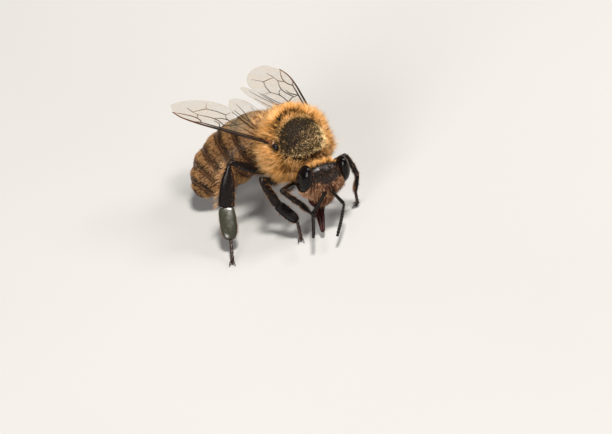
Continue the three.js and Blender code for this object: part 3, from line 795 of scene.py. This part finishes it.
for side in wing_roots:
    for kind, form in (("forewing", forewing), ("hindwing", hindwing)):
        place = wing_place(side, form.get("hook"))
        rows = spread(form["outline"])
        course = Course([(x, (low + high) / 2, 0) for x, low, high in rows])
        stations = []
        for x, low, high in rows:
            share = np.interp(x, course.line[:, 0], course.shares)
            stations.append((float(share), high - low, film_thickness))
        sheet = limb(f"{kind}_membrane_{side}", course, stations, (0, 0, 1), around=40)
        settle(sheet, film_finish, place, [f"{kind}_{side}"])
        settle(vein_net(f"{kind}_veins_{side}", form["veins"]), rib_finish, place)

# Each forewing's root: the glossy scale over it, and the small amber plates that it turns on.
gloss_stops = [(0.3, (0.003, 0.0025, 0.0025)), (0.75, (0.012, 0.008, 0.007))]
leg_finish = cuticle("leg_black", 0.14, (10, 4), gloss_stops, (0.1, 0.22), 0.005, surface=(18, 4))
hinge_stops = [(0.3, (0.012, 0.005, 0.003)), (0.7, (0.22, 0.08, 0.022))]
hinge_finish = cuticle("wing_hinge", 0.4, (8, 3), hinge_stops, (0.2, 0.36), 0.008)
scale_places = {"left": (0.1, 1.63, 0.96), "right": (0.1, -1.73, 1.04)}
for side, sign in (("left", 1), ("right", -1)):
    scale = dome(f"wing_scale_{side}", scale_places[side], (0.3, 0.17, 0.22), around=40)
    settle(scale, leg_finish, trunk_place, stands_for=[f"tegula_{side}"])
    sclerites = fuse(
        f"wing_hinge_{side}",
        [
            bulb((-0.16, sign * 1.74, 1.1), (0.2, 0.14, 0.13)),
            bulb((-0.4, sign * 1.8, 1.0), (0.24, 0.12, 0.11)),
            bulb((-0.34, sign * 1.7, 0.82), (0.3, 0.13, 0.16)),
            bulb((-0.66, sign * 1.84, 0.84), (0.26, 0.1, 0.1)),
        ],
        grain=0.03,
        smoothing=3,
    )
    settle(sclerites, hinge_finish, trunk_place)

# ---------------------------------------------------------------------------------------------- the legs
# Coxa, trochanter and femur, then the tibia, the long basitarsus, four small foot joints and two claws
# with a pad between them. The hind tibia and basitarsus are broad flat plates for carrying pollen.

# Hip, trochanter, knee, ankle, heel and toe of each leg. The widths are the femur's at its root and at
# its middle, the tibia's at its top and at its end, and the basitarsus's broad and thin ones.
legs = {
    "foreleg": {
        "femur": (0.46, 0.44), "tibia": (0.3, 0.36), "basitarsus": (0.27, 0.24),
        "right": (
            (0.67, -0.61, 3.05), (0.88, -1.25, 2.63), (2.2, -2.72, 3.72),
            (2.35, -1.8, 2.2), (2.1, -1.3, 1.15), (1.8, -0.8, 0.2),
        ),
        "left": (
            (0.64, 0.38, 2.97), (0.98, 0.98, 2.6), (2.56, 2.09, 3.97),
            (2.82, 2.39, 2.26), (2.91, 1.9, 1.22), (2.87, 1.85, 0.2),
        ),
    },
    "midleg": {
        "femur": (0.48, 0.46), "tibia": (0.44, 0.6), "basitarsus": (0.72, 0.3),
        "right": (
            (-0.73, -0.89, 3.34), (-0.15, -1.98, 2.7), (0.59, -3.23, 4.16),
            (1.36, -2.91, 2.24), (2.64, -2.43, 1.3), (2.95, -2.63, 0.2),
        ),
        "left": (
            (-0.72, 0.62, 3.2), (-0.8, 1.6, 2.75), (-1.3, 2.6, 4.1),
            (-2.1, 3.0, 2.2), (-2.9, 3.1, 0.85), (-4.0, 3.1, 0.2),
        ),
    },
    "hindleg": {
        "femur": (0.52, 0.58), "tibia": (0.42, 1.04), "basitarsus": (1.1, 0.4),
        "right": (
            (-1.53, -0.93, 3.88), (-1.06, -2.09, 3.08), (-1.32, -4.21, 5.11),
            (-0.91, -5.48, 2.31), (0.46, -6.32, 0.96), (1.52, -7.04, 0.2),
        ),
        "left": (
            (-1.55, 0.62, 3.75), (-1.9, 1.7, 3.1), (-3.4, 2.3, 4.1),
            (-4.4, 2.7, 1.25), (-6.2, 2.6, 0.45), (-7.5, 2.4, 0.2),
        ),
    },
}
thin = 0.3  # of the tibia, from face to face
toe_drums = 4
foot_stops = [(0.3, (0.006, 0.003, 0.0025)), (0.7, (0.032, 0.013, 0.007))]
foot_finish = cuticle("foot_brown", 0.3, (9, 4), foot_stops, (0.3, 0.46), 0.01)
olive_stops = [(0.3, (0.02, 0.02, 0.013)), (0.7, (0.034, 0.032, 0.021))]
olive_finish = cuticle("metatarsus_olive", 0.5, (5, 4), olive_stops, (0.2, 0.26), 0.001, surface=(30, 3))
matt_stops = [(0.3, (0.003, 0.0022, 0.0022)), (0.75, (0.008, 0.006, 0.0055))]
matt_finish = cuticle("leg_matt_black", 0.06, (14, 4), matt_stops, (0.34, 0.5), 0.012)
claw_rows = [(0, 0.1, 0.1), (0.2, 0.1, 0.1), (0.6, 0.07, 0.07), (0.9, 0.035, 0.035), (1, 0.015, 0.015)]
pad_rows = [(0, 0.08, 0.08), (0.3, 0.17, 0.15), (0.7, 0.21, 0.13), (1, 0.08, 0.05)]
grown = []  # each length's piece, with its course, facing and side, for its hair
for kind, form in legs.items():
    for side, sign in (("right", -1), ("left", 1)):
        hip, trochanter, knee, ankle, heel, toe = bee_points(form[side])
        facing = Vector((0.72, sign * 0.3, 0.6))
        root, thigh = form["femur"]
        top, end = form["tibia"]
        wide, thick = form["basitarsus"]
        name = f"{kind}_{side}"
        coxa = limb(
            f"{name}_coxa",
            Course([hip, trochanter]),
            [
                (0, 0.4, 0.4), (0.04, 0.62, 0.6), (0.6, 0.58, 0.56), (0.76, 0.46, 0.44),
                (0.79, 0.38, 0.38), (0.83, 0.44, 0.42), (0.97, 0.4, 0.38), (1, 0.24, 0.24),
            ],
            facing,
            around=20,
        )
        settle(coxa, leg_finish)
        thigh_rows = [
            (0, 0.14, 0.14), (0.03, root * 0.6, root * 0.6), (0.12, root * 0.86, root * 0.8),
            (0.35, thigh, thigh * 0.86), (0.65, thigh * 0.92, thigh * 0.8),
            (0.9, 0.36, 0.34), (0.98, 0.3, 0.28), (1, 0.12, 0.12),
        ]
        shin_rows = [
            (0, 0.14, 0.14), (0.03, 0.24, 0.24), (0.08, top * 0.76, thin), (0.16, top * 0.95, thin * 1.1),
            (0.32, top + (end - top) * 0.58, thin * 1.15), (0.55, top + (end - top) * 0.88, thin * 1.15),
            (0.85, end, thin * 1.05), (0.96, end, thin * 0.95), (0.985, end * 0.86, thin * 0.8),
            (1, end * 0.5, thin * 0.4),
        ]
        brush_rows = [
            (0, wide * 0.3, 0.08), (0.02, wide * 0.66, thick * 0.3), (0.06, wide * 0.86, thick * 0.42),
            (0.14, wide * 0.95, thick * 0.52), (0.35, wide, thick * 0.72), (0.6, wide, thick * 0.92),
            (0.8, wide * 0.9, thick), (0.93, wide * 0.68, thick * 0.84), (0.985, wide * 0.4, 0.16),
            (1, 0.1, 0.1),
        ]
        toe_rows = []
        for k in range(toe_drums):
            width = 0.24 if k < toe_drums - 1 else 0.27
            drum = k / toe_drums
            toe_rows += rounded(width, width * 0.85, drum, drum + 0.235, steps=4, lip=0.14)
        brush_finish = olive_finish if kind == "hindleg" else matt_finish
        shin_line = [knee, (knee + ankle) / 2 + facing * 0.03, ankle]
        brush_line = [ankle + (ankle - heel).normalized() * 0.06, heel + (heel - ankle).normalized() * 0.04]
        for part, node, ends, line, rows, around, finish, slot in (
            ("thigh", "femur", (trochanter, knee), (trochanter, knee), thigh_rows, 24, leg_finish, "black"),
            ("shin", "tibia", (knee, ankle), shin_line, shin_rows, 24, leg_finish, "black"),
            ("metatarsus", "basitarsus", (ankle, heel), brush_line, brush_rows, 24, brush_finish, "black"),
            ("toes", "tarsus", (heel, toe), (heel, toe), toe_rows, 16, foot_finish, "brown"),
        ):
            piece = limb(f"{name}_{part}", Course(line), rows, facing, around)
            settle(piece, finish, stands_for=[f"{name}_{node}"])
            grown.append((kind, part, piece, Course(ends), facing, sign))
        back = (heel - toe).normalized()
        way = Vector((toe.x - heel.x, toe.y - heel.y, 0)).normalized()
        across = Vector((-way.y, way.x, 0))
        for part, turn in (("inner", -1), ("outer", 1)):
            aside = across * turn
            claw_line = [
                toe + back * 0.16,
                toe + way * 0.2 + aside * 0.14 + Vector((0, 0, 0.05)),
                toe + way * 0.38 + aside * 0.2 + Vector((0, 0, -0.1)),
                Vector((toe.x, toe.y, 0.03)) + way * 0.4 + aside * 0.19,
            ]
            claw = limb(f"{name}_claw_{part}", Course(claw_line), claw_rows, (0, 0, 1), around=10)
            settle(claw, foot_finish)
        pad_line = [
            toe + back * 0.18,
            toe + way * 0.04 - Vector((0, 0, 0.06)),
            toe + way * 0.24 - Vector((0, 0, 0.12)),
        ]
        pad = limb(f"{name}_pad", Course(pad_line), pad_rows, (0, 0, 1), around=12)
        settle(pad, foot_finish)

# ---------------------------------------------------------------------------------------------- the coat
# Bee hair is a pile of fine golden plumes, long and upright round the trunk and short on the face and
# abdomen. Each strand is a solid three-sided blade, sunk in the shell, bent once and drawn to a point.

draws = np.random.default_rng(7)
# Roots tried on each part, before those in its bare places are left out.
tried = {"trunk": 90000, "disc": 60000, "head": 52000, "eye": 700, "abdomen": 95000}
tried_on_leg = {"thigh": 1500, "shin": 2600, "metatarsus": 2200, "toes": 260}
most_triangles = 190000  # in one piece of the coat
sunk = 0.03  # of each root in the shell
patch = 0.003  # of the baking map, for one strand
tallest = 7.2  # height that the coat may reach
disc_middle, disc_half_length, disc_half_width = 0.58, 1.27, 1.57
cushion_rim = 1.26  # from the middle of the crown back to the scutellum's hair
collar_across = (-1.3, -0.7, 0.1, 0.8, 1.4)
collar_forward = (1.42, 1.8, 1.9, 1.82, 1.5)
bare_hinge = ((0.15, 1.75, 1.0), (-0.2, 1.75, 1.0), (-0.6, 1.8, 0.85))
socket_places = ((0.95, 0.27, -0.16), (0.95, -0.27, -0.16))


def scatter(piece, count):
    """Even random places on a finished piece, in millimetres, with the way out of its surface."""
    mesh = piece.data
    mesh.calc_loop_triangles()
    corners = numbers(mesh.loop_triangles, "vertices", np.int32)
    places = numbers(mesh.vertices, "co") / millimetre
    normals = numbers(mesh.vertices, "normal")
    a, b, c = (places[corners[:, k]] for k in range(3))
    area = np.linalg.norm(np.cross(b - a, c - a), axis=1)
    chosen = corners[draws.choice(len(area), count, p=area / area.sum())]
    u, v = draws.random((2, count))
    over = u + v > 1
    u[over], v[over] = 1 - u[over], 1 - v[over]
    weights = np.stack([1 - u - v, u, v], axis=1)[:, :, None]
    out = (normals[chosen] * weights).sum(axis=1)
    return (places[chosen] * weights).sum(axis=1), out / np.linalg.norm(out, axis=1, keepdims=True)


def along_surface(ways, out):
    """The part of each way that lies in the surface, at length 1."""
    flat = ways - out * (ways * out).sum(axis=1, keepdims=True)
    return flat / np.maximum(np.linalg.norm(flat, axis=1, keepdims=True), 1e-6)


def sway(points, span):
    """A slow random drift from place to place, so that no part of the coat looks quite like the next."""
    total = np.zeros(points.shape)
    for _ in range(6):
        total += np.sin(points @ draws.normal(0, 3 / span, (3, 3)) + draws.uniform(0, 2 * math.pi, 3))
    return total * 0.55


def strands(name, roots, out, lie, length, width, lean, tone, unwrap, finish, slot, tufts=0, pull=0.6):
    """Grows solid strands. lean is each strand's angle from upright at its root and at its tip,
    tone goes from 0, dark, to 1, pale, and unwrap is each root's place on its skin laid flat.
    Strands with one angle are short straight spikes. Those with two bend half way, and neighbours
    draw together into tufts, each of its own length and tone."""
    count = len(roots)
    bent = len(lean) == 2
    slant = np.radians(lean[0] + draws.normal(0, 8, count))[:, None]
    droop = np.radians(lean[-1] + draws.normal(0, 10, count))[:, None]
    first = out * np.cos(slant) + lie * np.sin(slant)
    second = out * np.cos(droop) + lie * np.sin(droop)
    length = np.asarray(length)[:, None]
    if tufts:
        centres = draws.choice(count, min(tufts, count), replace=False)
        middles = KDTree(len(centres))
        for k, root in enumerate(roots[centres]):
            middles.insert(root, k)
        middles.balance()
        tuft = np.array([middles.find(root)[1] for root in roots])
        length = length * draws.uniform(0.65, 1.2, (len(centres), 1))[tuft]
        tone = np.clip(tone + draws.normal(0, 0.2, len(centres))[tuft], 0, 1)
        inward = (roots[centres][tuft] - roots) * 2 / length
        second = second * (1 - pull) + (second[centres][tuft] + inward) * pull
    second += draws.normal(0, 0.1, (count, 3))
    second /= np.linalg.norm(second, axis=1, keepdims=True)
    width = np.asarray(width)[:, None]
    start = roots - out * sunk
    climb = np.maximum(first[:, 2:] + second[:, 2:], 0.01) / 2
    headroom = np.maximum(tallest - start[:, 2:], 0.1) / climb
    length = np.minimum(length, headroom * (0.7 + 0.3 * tone[:, None]))
    bend = start + first * length * 0.5
    side = np.cross(first, out + draws.normal(0, 0.6, (count, 3)))
    side /= np.linalg.norm(side, axis=1, keepdims=True)
    rings = [(start, 0.5), (bend, 0.38)] if bent else [(start, 0.5)]
    points = []
    for centre, share in rings:
        for k in range(3):
            turn = 2 * math.pi * k / 3
            ring = side * math.cos(turn) + np.cross(first, side) * math.sin(turn)
            points.append(centre + ring * width * share)
    points.append(bend + second * length * 0.5 if bent else start + second * length)
    points = np.stack(points, axis=1)
    each = points.shape[1]
    corners = [(0, 2, 1)]
    for k in range(3):
        after = (k + 1) % 3
        if bent:
            corners += [(k, after, 3 + after), (k, 3 + after, 3 + k)]
        corners.append((each - 4 + k, each - 4 + after, each - 1))
    corners = np.array(corners)
    spots = [(-0.5, -0.5), (0.5, -0.5), (0, -0.4), (-0.4, 0), (0.4, 0), (0, 0.1), (0, 0.5)]
    heights = [0, 0, 0, 0.5, 0.5, 0.5, 1.0]
    if not bent:
        spots, heights = spots[:3] + spots[-1:], heights[:3] + heights[-1:]
    flat = np.clip(unwrap, 0.01, 0.99)[:, None, :] + np.array(spots)[None] * patch
    along = np.tile(heights, (count, 1))
    pieces = math.ceil(count * len(corners) / most_triangles)
    for number in range(pieces):
        part = slice(number * count // pieces, (number + 1) * count // pieces)
        kept = points[part].reshape(-1, 3) * millimetre
        faces = (corners[None] + each * np.arange(len(kept) // each)[:, None, None]).reshape(-1)
        mesh = bpy.data.meshes.new(name)
        mesh.vertices.add(len(kept))
        mesh.vertices.foreach_set("co", kept.ravel())
        mesh.loops.add(len(faces))
        mesh.loops.foreach_set("vertex_index", faces.astype(np.int32))
        mesh.polygons.add(len(faces) // 3)
        mesh.polygons.foreach_set("loop_start", np.arange(0, len(faces), 3, dtype=np.int32))
        mesh.polygons.foreach_set("use_smooth", np.ones(len(faces) // 3, bool))
        carry(mesh, "tone", np.repeat(tone[part], each))
        carry(mesh, "along", along[part].ravel())
        bake = mesh.uv_layers.new(name="OFBake")
        bake.data.foreach_set("uv", flat[part].reshape(-1, 2)[faces].ravel().astype(np.float32))
        mesh.update(calc_edges=True)
        mesh.materials.append(finish)
        coat = bpy.data.objects.new(f"{name}_{number + 1}" if pieces > 1 else name, mesh)
        bpy.context.collection.objects.link(coat)
        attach(coat, "root")


def hair_finish(name, dark, middle, pale):
    """Hair with painted shade that darkens each strand towards its root, each strand a little paler or
    darker than the next.
    """
    hair = Finish(name, sheen=0.06, Roughness=0.5)
    tint = hair.ramp(hair.carried("tone"), [(0.0, dark), (0.5, middle), (1.0, pale)])
    # Painted shade: a fixed ramp darkens every strand towards its root, as if the coat round it shaded it.
    shade = hair.ramp(hair.carried("along"), [(0.0, (0.2, 0.11, 0.06)), (0.5, (1, 1, 1))])
    return hair.wear(hair.blend(1.0, tint, shade, "MULTIPLY"))


def uneven(middle, spread):
    """A share from 0 to 1 for each strand, at random about its own middle."""
    return np.clip(middle + draws.normal(0, spread, len(middle)), 0, 1)


def past_disc(own):
    """Under 1 on the smooth disc of the crown, and more with the way out of it."""
    along = (own[:, 0] - disc_middle) / disc_half_length
    return np.hypot(along, own[:, 1] / disc_half_width) + 4 * (own[:, 2] < 0)


def collar_line(own):
    """How far forward the collar lies, from side to side."""
    return np.interp(own[:, 1], collar_across, collar_forward)


def on_left(own):
    """Places on either side of a part, brought to its left side."""
    return own * (1, 0, 1) + np.abs(own) * (0, 1, 0)


def nearness(own, places):
    """The distance to the nearest of some places."""
    return np.minimum.reduce([np.linalg.norm(own - np.array(at), axis=1) for at in places])


def facing_in(place, points):
    """Points given in millimetres in the frame, seen in a part's own frame."""
    inward = np.array(place.inverted())
    return points @ inward[:3, :3].T + inward[:3, 3]


def turned_out(place, ways):
    """Ways given in a part's own frame, seen in the frame."""
    return ways @ np.array(place)[:3, :3].T


def stepped(values, low, high):
    """0 below low, 1 above high and smooth between."""
    share = np.clip((values - low) / (high - low), 0, 1)
    return share * share * (3 - 2 * share)


def round_map(own):
    """A round part's surface laid flat by its turn about the upright and its height."""
    unit = own / np.linalg.norm(own, axis=1, keepdims=True)
    turn = np.arctan2(unit[:, 1], unit[:, 0]) / (2 * math.pi) + 0.5
    return np.stack([turn, np.arccos(np.clip(unit[:, 2], -1, 1)) / math.pi], axis=1)


# The long gold coat of the trunk, parted at the scutellum and the collar and thin round the wing roots.
golden = hair_finish("golden_hair", (0.09, 0.04, 0.012), (0.82, 0.39, 0.1), (0.95, 0.67, 0.36))
roots, out = scatter(trunk, tried["trunk"])
own = facing_in(trunk_place, roots)
disc = past_disc(own)
behind = stepped(-own[:, 0], 0.2, 0.6) * (own[:, 2] > 0.5)
cushion = np.hypot(own[:, 0] * 0.96, own[:, 1])
on_cushion = stepped(0.22 - np.abs(cushion - cushion_rim), 0.0, 0.14) * behind
past_collar = own[:, 0] - collar_line(own) + 4 * (own[:, 2] < 0)
groove = stepped(0.075 - np.abs(past_collar), 0.0, 0.05) * (np.abs(own[:, 1]) < 1.2)
neck = (own[:, 0] > 1.75) & (np.abs(own[:, 1]) < 0.75) & (own[:, 2] < 0.1)
clear_of_hinge = np.maximum(stepped(nearness(on_left(own), bare_hinge), 0.16, 0.48), own[:, 1] > 0)
patchy = sway(roots, 1.2)
wanted = stepped(disc, 0.94, 1.22) * (1 - 0.86 * on_cushion) * (1 - 0.8 * groove) * (1 - neck)
kept = draws.random(len(roots)) < wanted * (0.08 + 0.92 * clear_of_hinge)
roots, out, own, disc, cushion, behind, clear_of_hinge, patchy, past_collar = (
    values[kept] for values in (roots, out, own, disc, cushion, behind, clear_of_hinge, patchy, past_collar)
)
away = turned_out(trunk_place, own - np.array((1.2, 0, 1.5)))
lie = along_surface(away + patchy * 0.45 + draws.normal(0, 0.28, away.shape), out)
ridge = behind * (cushion < 1.36)
collar = stepped(0.22 - np.abs(past_collar - 0.2), 0.0, 0.12)
flank = stepped(-own[:, 2], -1.3, 0.2)
outer = stepped(own[:, 1], 0.5, 1.5) * stepped(1.6 - own[:, 0], 0.0, 0.5) * (own[:, 2] > -0.8)
rear = stepped(-own[:, 0], 0.2, 1.3) * (own[:, 1] < 0)
length = 0.12 + 0.44 * stepped(disc, 1.0, 1.5) + (0.3 - 0.2 * rear) * flank + 0.12 * outer
length += 0.05 * patchy[:, 0] + draws.normal(0, 0.1, len(roots))
length *= (1 - 0.55 * ridge) * (1 - 0.45 * collar) * (0.5 + 0.5 * clear_of_hinge)
length = np.clip(length * (1 - 0.3 * stepped(own[:, 0], 0.9, 1.5)), 0.1, 1.1)
# Painted highlight: the hair is paler towards the front and the bee's left, where the side light falls, and
# its darkening beside the disc is halved there.
front = stepped(own[:, 0] + 0.9 * own[:, 1], 0.8, 2.4)
tone = 0.44 + 0.04 * front + 0.2 * collar
tone -= 0.3 * behind * stepped(0.35 - np.abs(cushion - cushion_rim), 0, 0.3)
tone -= 0.2 * stepped(1.4 - disc, 0.0, 0.3) * (1 - 0.5 * front)
# Painted shadow: the hair of the low flank in front, on the bee's right, is darker.
tone -= 0.14 * stepped(own[:, 0], 0.4, 1.2) * stepped(-own[:, 1], -0.2, 0.8) * flank
tone = uneven(tone + 0.07 * patchy[:, 1], 0.22)
lean = (18 + 10 * flank - 6 * outer, 40 + 14 * flank - 10 * outer)
strands("trunk_coat", roots, out, lie, length, draws.uniform(0.017, 0.028, len(roots)), lean, tone,
        round_map(own), golden, "coat", tufts=14000, pull=0.44)
guard = draws.random(len(roots)) < 0.07 * stepped(disc, 1.15, 1.4) * clear_of_hinge * (own[:, 0] < 1.5)
longer = length[guard] * draws.uniform(1.15, 1.5, guard.sum())
strands("guard_hair", roots[guard], out[guard], lie[guard], longer, np.full(guard.sum(), 0.02), (16, 36),
        np.clip(tone[guard] + 0.15, 0, 1), round_map(own[guard]), golden, "coat")

# Short gold stubble on the disc, thickest towards the collar and a little longer at its edge.
olive_gold = hair_finish("disc_hair", (0.03, 0.02, 0.009), (0.5, 0.29, 0.1), (1.0, 0.78, 0.42))
roots, out = scatter(trunk, tried["disc"])
own = facing_in(trunk_place, roots)
disc = past_disc(own)
patchy = sway(roots, 0.5)
front = stepped(own[:, 0] + 0.3 * own[:, 1] + 0.12 * patchy[:, 0], 0.1, 1.1)
border = stepped(disc + 0.08 * patchy[:, 1], 0.8, 1.15)
kept = (disc < 1.25) & (own[:, 0] < collar_line(own) - 0.07)
kept &= draws.random(len(roots)) < 0.16 + 0.3 * front + 0.4 * border
roots, out, own, front, border = (values[kept] for values in (roots, out, own, front, border))
lie = along_surface(turned_out(trunk_place, draws.normal(0, 0.8, roots.shape) + np.array((-0.8, 0, 0))), out)
tone = -0.04 + 0.58 * front + 0.24 * border
for span in (0.14, 0.06):
    tone += 0.13 * sway(roots, span)[:, 0]
tone = uneven(tone, 0.2)
length = (0.08 + 0.09 * border) * draws.uniform(0.7, 1.5, len(roots))
strands("disc_stubble", roots, out, lie, length, draws.uniform(0.02, 0.032, len(roots)), (42,), tone,
        round_map(own), olive_gold, "coat")

# Rust-brown down over the face below the feelers, sparse on the brow, and a gold fringe behind the crown.
rosy = hair_finish("face_hair", (0.03, 0.012, 0.008), (0.27, 0.11, 0.055), (0.9, 0.55, 0.32))
roots, out = scatter(capsule, tried["head"])
own = facing_in(head_place, roots)
patchy = sway(roots, 0.6)
lower = stepped(0.1 * patchy[:, 0] - own[:, 2], -0.75, -0.1) * stepped(own[:, 0], -0.1, 0.2)
lower *= nearness(own, socket_places) > 0.19
labrum = (own[:, 2] < -1.35) & (own[:, 0] > 0.3)
brow = (own[:, 0] > 0.1) * (own[:, 2] > 0)
kept = draws.random(len(roots)) < np.maximum(lower * 0.33 * (1 - 0.6 * labrum), brow * 0.06)
eye_space = (on_left(own) - np.array(eye_centre)) @ np.array(Matrix.Rotation(eye_lean, 3, "X"))
orbit = stepped(1.16 - np.linalg.norm(eye_space / eye_radii, axis=1), 0.0, 0.1) * (own[:, 0] > 0.15)
orbit *= stepped(own[:, 2], -0.35, 0.0)
kept |= draws.random(len(roots)) < orbit * 0.4
face_roots, face_out, face_own, lower, patchy, orbit = (
    values[kept] for values in (roots, out, own, lower, patchy, orbit)
)
down = turned_out(head_place, face_own * (0, 0.7, 0) + (0.3, 0, -1))
lie = along_surface(down + patchy * 0.4 + draws.normal(0, 0.4, down.shape), face_out)
length = (0.11 + 0.18 * lower) * (1 - 0.4 * orbit) * draws.uniform(0.6, 1.4, len(lie))
middle = stepped(0.8 - np.abs(face_own[:, 1]), 0.0, 0.4)
tone = uneven(0.1 + (0.42 - 0.2 * middle) * lower + 0.5 * orbit, 0.28)
strands("face_hair", face_roots, face_out, lie, length, draws.uniform(0.017, 0.03, len(lie)), (24, 44), tone,
        round_map(face_own), rosy, "face", tufts=1700, pull=0.5)
kept = draws.random(len(roots)) < 0.22 * stepped(-own[:, 0], 0.0, 0.2) * (np.abs(own[:, 1]) < 1.3)
roots, out, own = roots[kept], out[kept], own[kept]
back = turned_out(head_place, own * (0, 0.3, 0) + (-0.6, 0, 0.8))
lie = along_surface(back + draws.normal(0, 0.4, back.shape), out)
length = draws.uniform(0.18, 0.48, len(roots)) * (1 - 0.5 * stepped(np.abs(own[:, 1]), 0.6, 1.15))
strands("nape_fringe", roots, out, lie, length, draws.uniform(0.018, 0.03, len(roots)), (16, 34),
        uneven(np.full(len(roots), 0.34), 0.22), round_map(own), golden, "coat", tufts=900)
for eye, side in zip(eyes, ("left", "right")):
    roots, out = scatter(eye, tried["eye"])
    own = facing_in(head_place, roots)
    lie = along_surface(draws.normal(0, 1, roots.shape), out)
    length = draws.uniform(0.05, 0.11, len(roots))
    strands(f"eye_down_{side}", roots, out, lie, length, np.full(len(roots), 0.012), (15,),
            uneven(np.full(len(roots), 0.2), 0.15), round_map(own), rosy, "face")

# Long tan wool on the abdomen's first ring, then short hair lying back over each plate's front half.
dusty = hair_finish("abdomen_hair", (0.08, 0.038, 0.018), (0.56, 0.29, 0.11), (0.86, 0.57, 0.28))
roots, out = scatter(abdomen, tried["abdomen"])
share, offset = along_course(abdomen_course, roots)
ahead = np.gradient(abdomen_course.line, axis=0)
ahead = ahead[np.searchsorted(abdomen_course.shares, share).clip(0, len(ahead) - 1)]
edges = np.array(plate_edges)
plate = np.clip(np.searchsorted(edges, share) - 1, 0, len(edges) - 2)
in_plate = (share - edges[plate]) / (edges[plate + 1] - edges[plate])
upward = offset @ np.array(abdomen_up)
across = offset @ np.array(abdomen_up.cross(Vector((-0.6, -0.7, -0.4))).normalized())
turn = np.arctan2(across, upward) / (2 * math.pi) + 0.5
patchy = sway(roots, 0.9)
wool = 1 - stepped(share + 0.015 * patchy[:, 0], 0.1, 0.24)
band = stepped(in_plate, 0.02, 0.12) * (1 - stepped(in_plate + 0.06 * patchy[:, 1], 0.4, 0.75))
wanted = np.maximum(wool * (0.55 + 0.2 * patchy[:, 2]), 0.13 + 0.27 * band * (0.9 + 0.25 * patchy[:, 2]))
kept = (draws.random(len(roots)) < wanted) & (share < 0.985)
roots, out, share, ahead, wool, band, turn, patchy = (
    values[kept] for values in (roots, out, share, ahead, wool, band, turn, patchy)
)
way = ahead / np.linalg.norm(ahead, axis=1, keepdims=True)
lie = along_surface(way + patchy * 0.2 + draws.normal(0, 0.3, way.shape), out)
length = (0.13 + 0.08 * band + 0.26 * wool) * draws.uniform(0.6, 1.4, len(roots))
tone = uneven(0.3 + 0.15 * band + 0.08 * wool + 0.07 * patchy[:, 0], 0.18)
unwrap = np.stack([turn, share], axis=1)
long = wool > 0.35
for name, chosen, lean, tufts in (("abdomen_wool", long, (26, 52), 900), ("abdomen_hair", ~long, (64,), 0)):
    width = draws.uniform(0.02, 0.034, chosen.sum())
    strands(name, roots[chosen], out[chosen], lie[chosen], length[chosen], width, lean, tone[chosen],
            unwrap[chosen], dusty, "banded", tufts=tufts)

# Leg hair lies towards the foot: fringes along both edges, long ones round the pollen basket of the hind
# shin, whose outer face stays bare, and a dense rust-red brush under the metatarsus.
rusty = hair_finish("leg_hair", (0.05, 0.022, 0.01), (0.5, 0.24, 0.09), (1.0, 0.7, 0.4))
strip = 1 / len(grown)  # of the baking map, for one length of leg
parts = {key: [] for key in ("roots", "out", "lie", "length", "tone", "unwrap")}
for number, (kind, part, piece, course, facing, sign) in enumerate(grown):
    roots, out = scatter(piece, tried_on_leg[part])
    share, offset = along_course(course, roots)
    ahead = np.array(course.ahead(0.5))
    side = np.cross(np.array(facing), ahead)
    side *= np.sign(side[1] * sign) / np.linalg.norm(side)
    front = np.cross(side, ahead)
    front *= np.sign(front @ np.array(facing))
    edge = out @ side
    face_on = out @ front
    if part == "shin" and kind == "hindleg":
        wanted = 0.26 * (np.abs(edge) > 0.6) + 0.08 * (face_on < -0.3) + 0.1 * (edge < -0.25)
        length = 0.18 + 0.5 * (edge > 0.4) + 0.08 * (edge < -0.4)
    elif part == "metatarsus":
        wanted = 0.7 * (face_on < -0.3) + 0.05 * (np.abs(edge) > 0.7)
        length = 0.12 + 0.08 * (np.abs(edge) > 0.6)
    elif part == "thigh":
        wanted = 0.02 + 0.3 * (out[:, 2] < -0.4)
        length = 0.16 + 0.14 * (out[:, 2] < -0.4)
    else:
        wanted = 0.02 + 0.05 * (np.abs(edge) > 0.6) + 0.1 * (face_on < -0.4)
        length = np.full(len(roots), 0.12 if part == "toes" else 0.2)
    kept = draws.random(len(roots)) < wanted
    lie = along_surface(ahead + side * edge[:, None] * 0.6 + draws.normal(0, 0.25, out.shape), out)
    turn = 0.5 + 0.45 * np.arctan2(edge, face_on) / math.pi
    unwrap = np.stack([number * strip + strip * turn, share], axis=1)
    tone = uneven(0.2 + 0.4 * (length > 0.4), 0.18)
    length = length * draws.uniform(0.7, 1.3, len(roots))
    for key, values in zip(parts, (roots, out, lie, length, tone, unwrap)):
        parts[key].append(values[kept])
parts = {key: np.concatenate(values) for key, values in parts.items()}
width = draws.uniform(0.015, 0.026, len(parts["roots"]))
strands("leg_hair", width=width, lean=(34, 56), finish=rusty, slot="black", **parts)
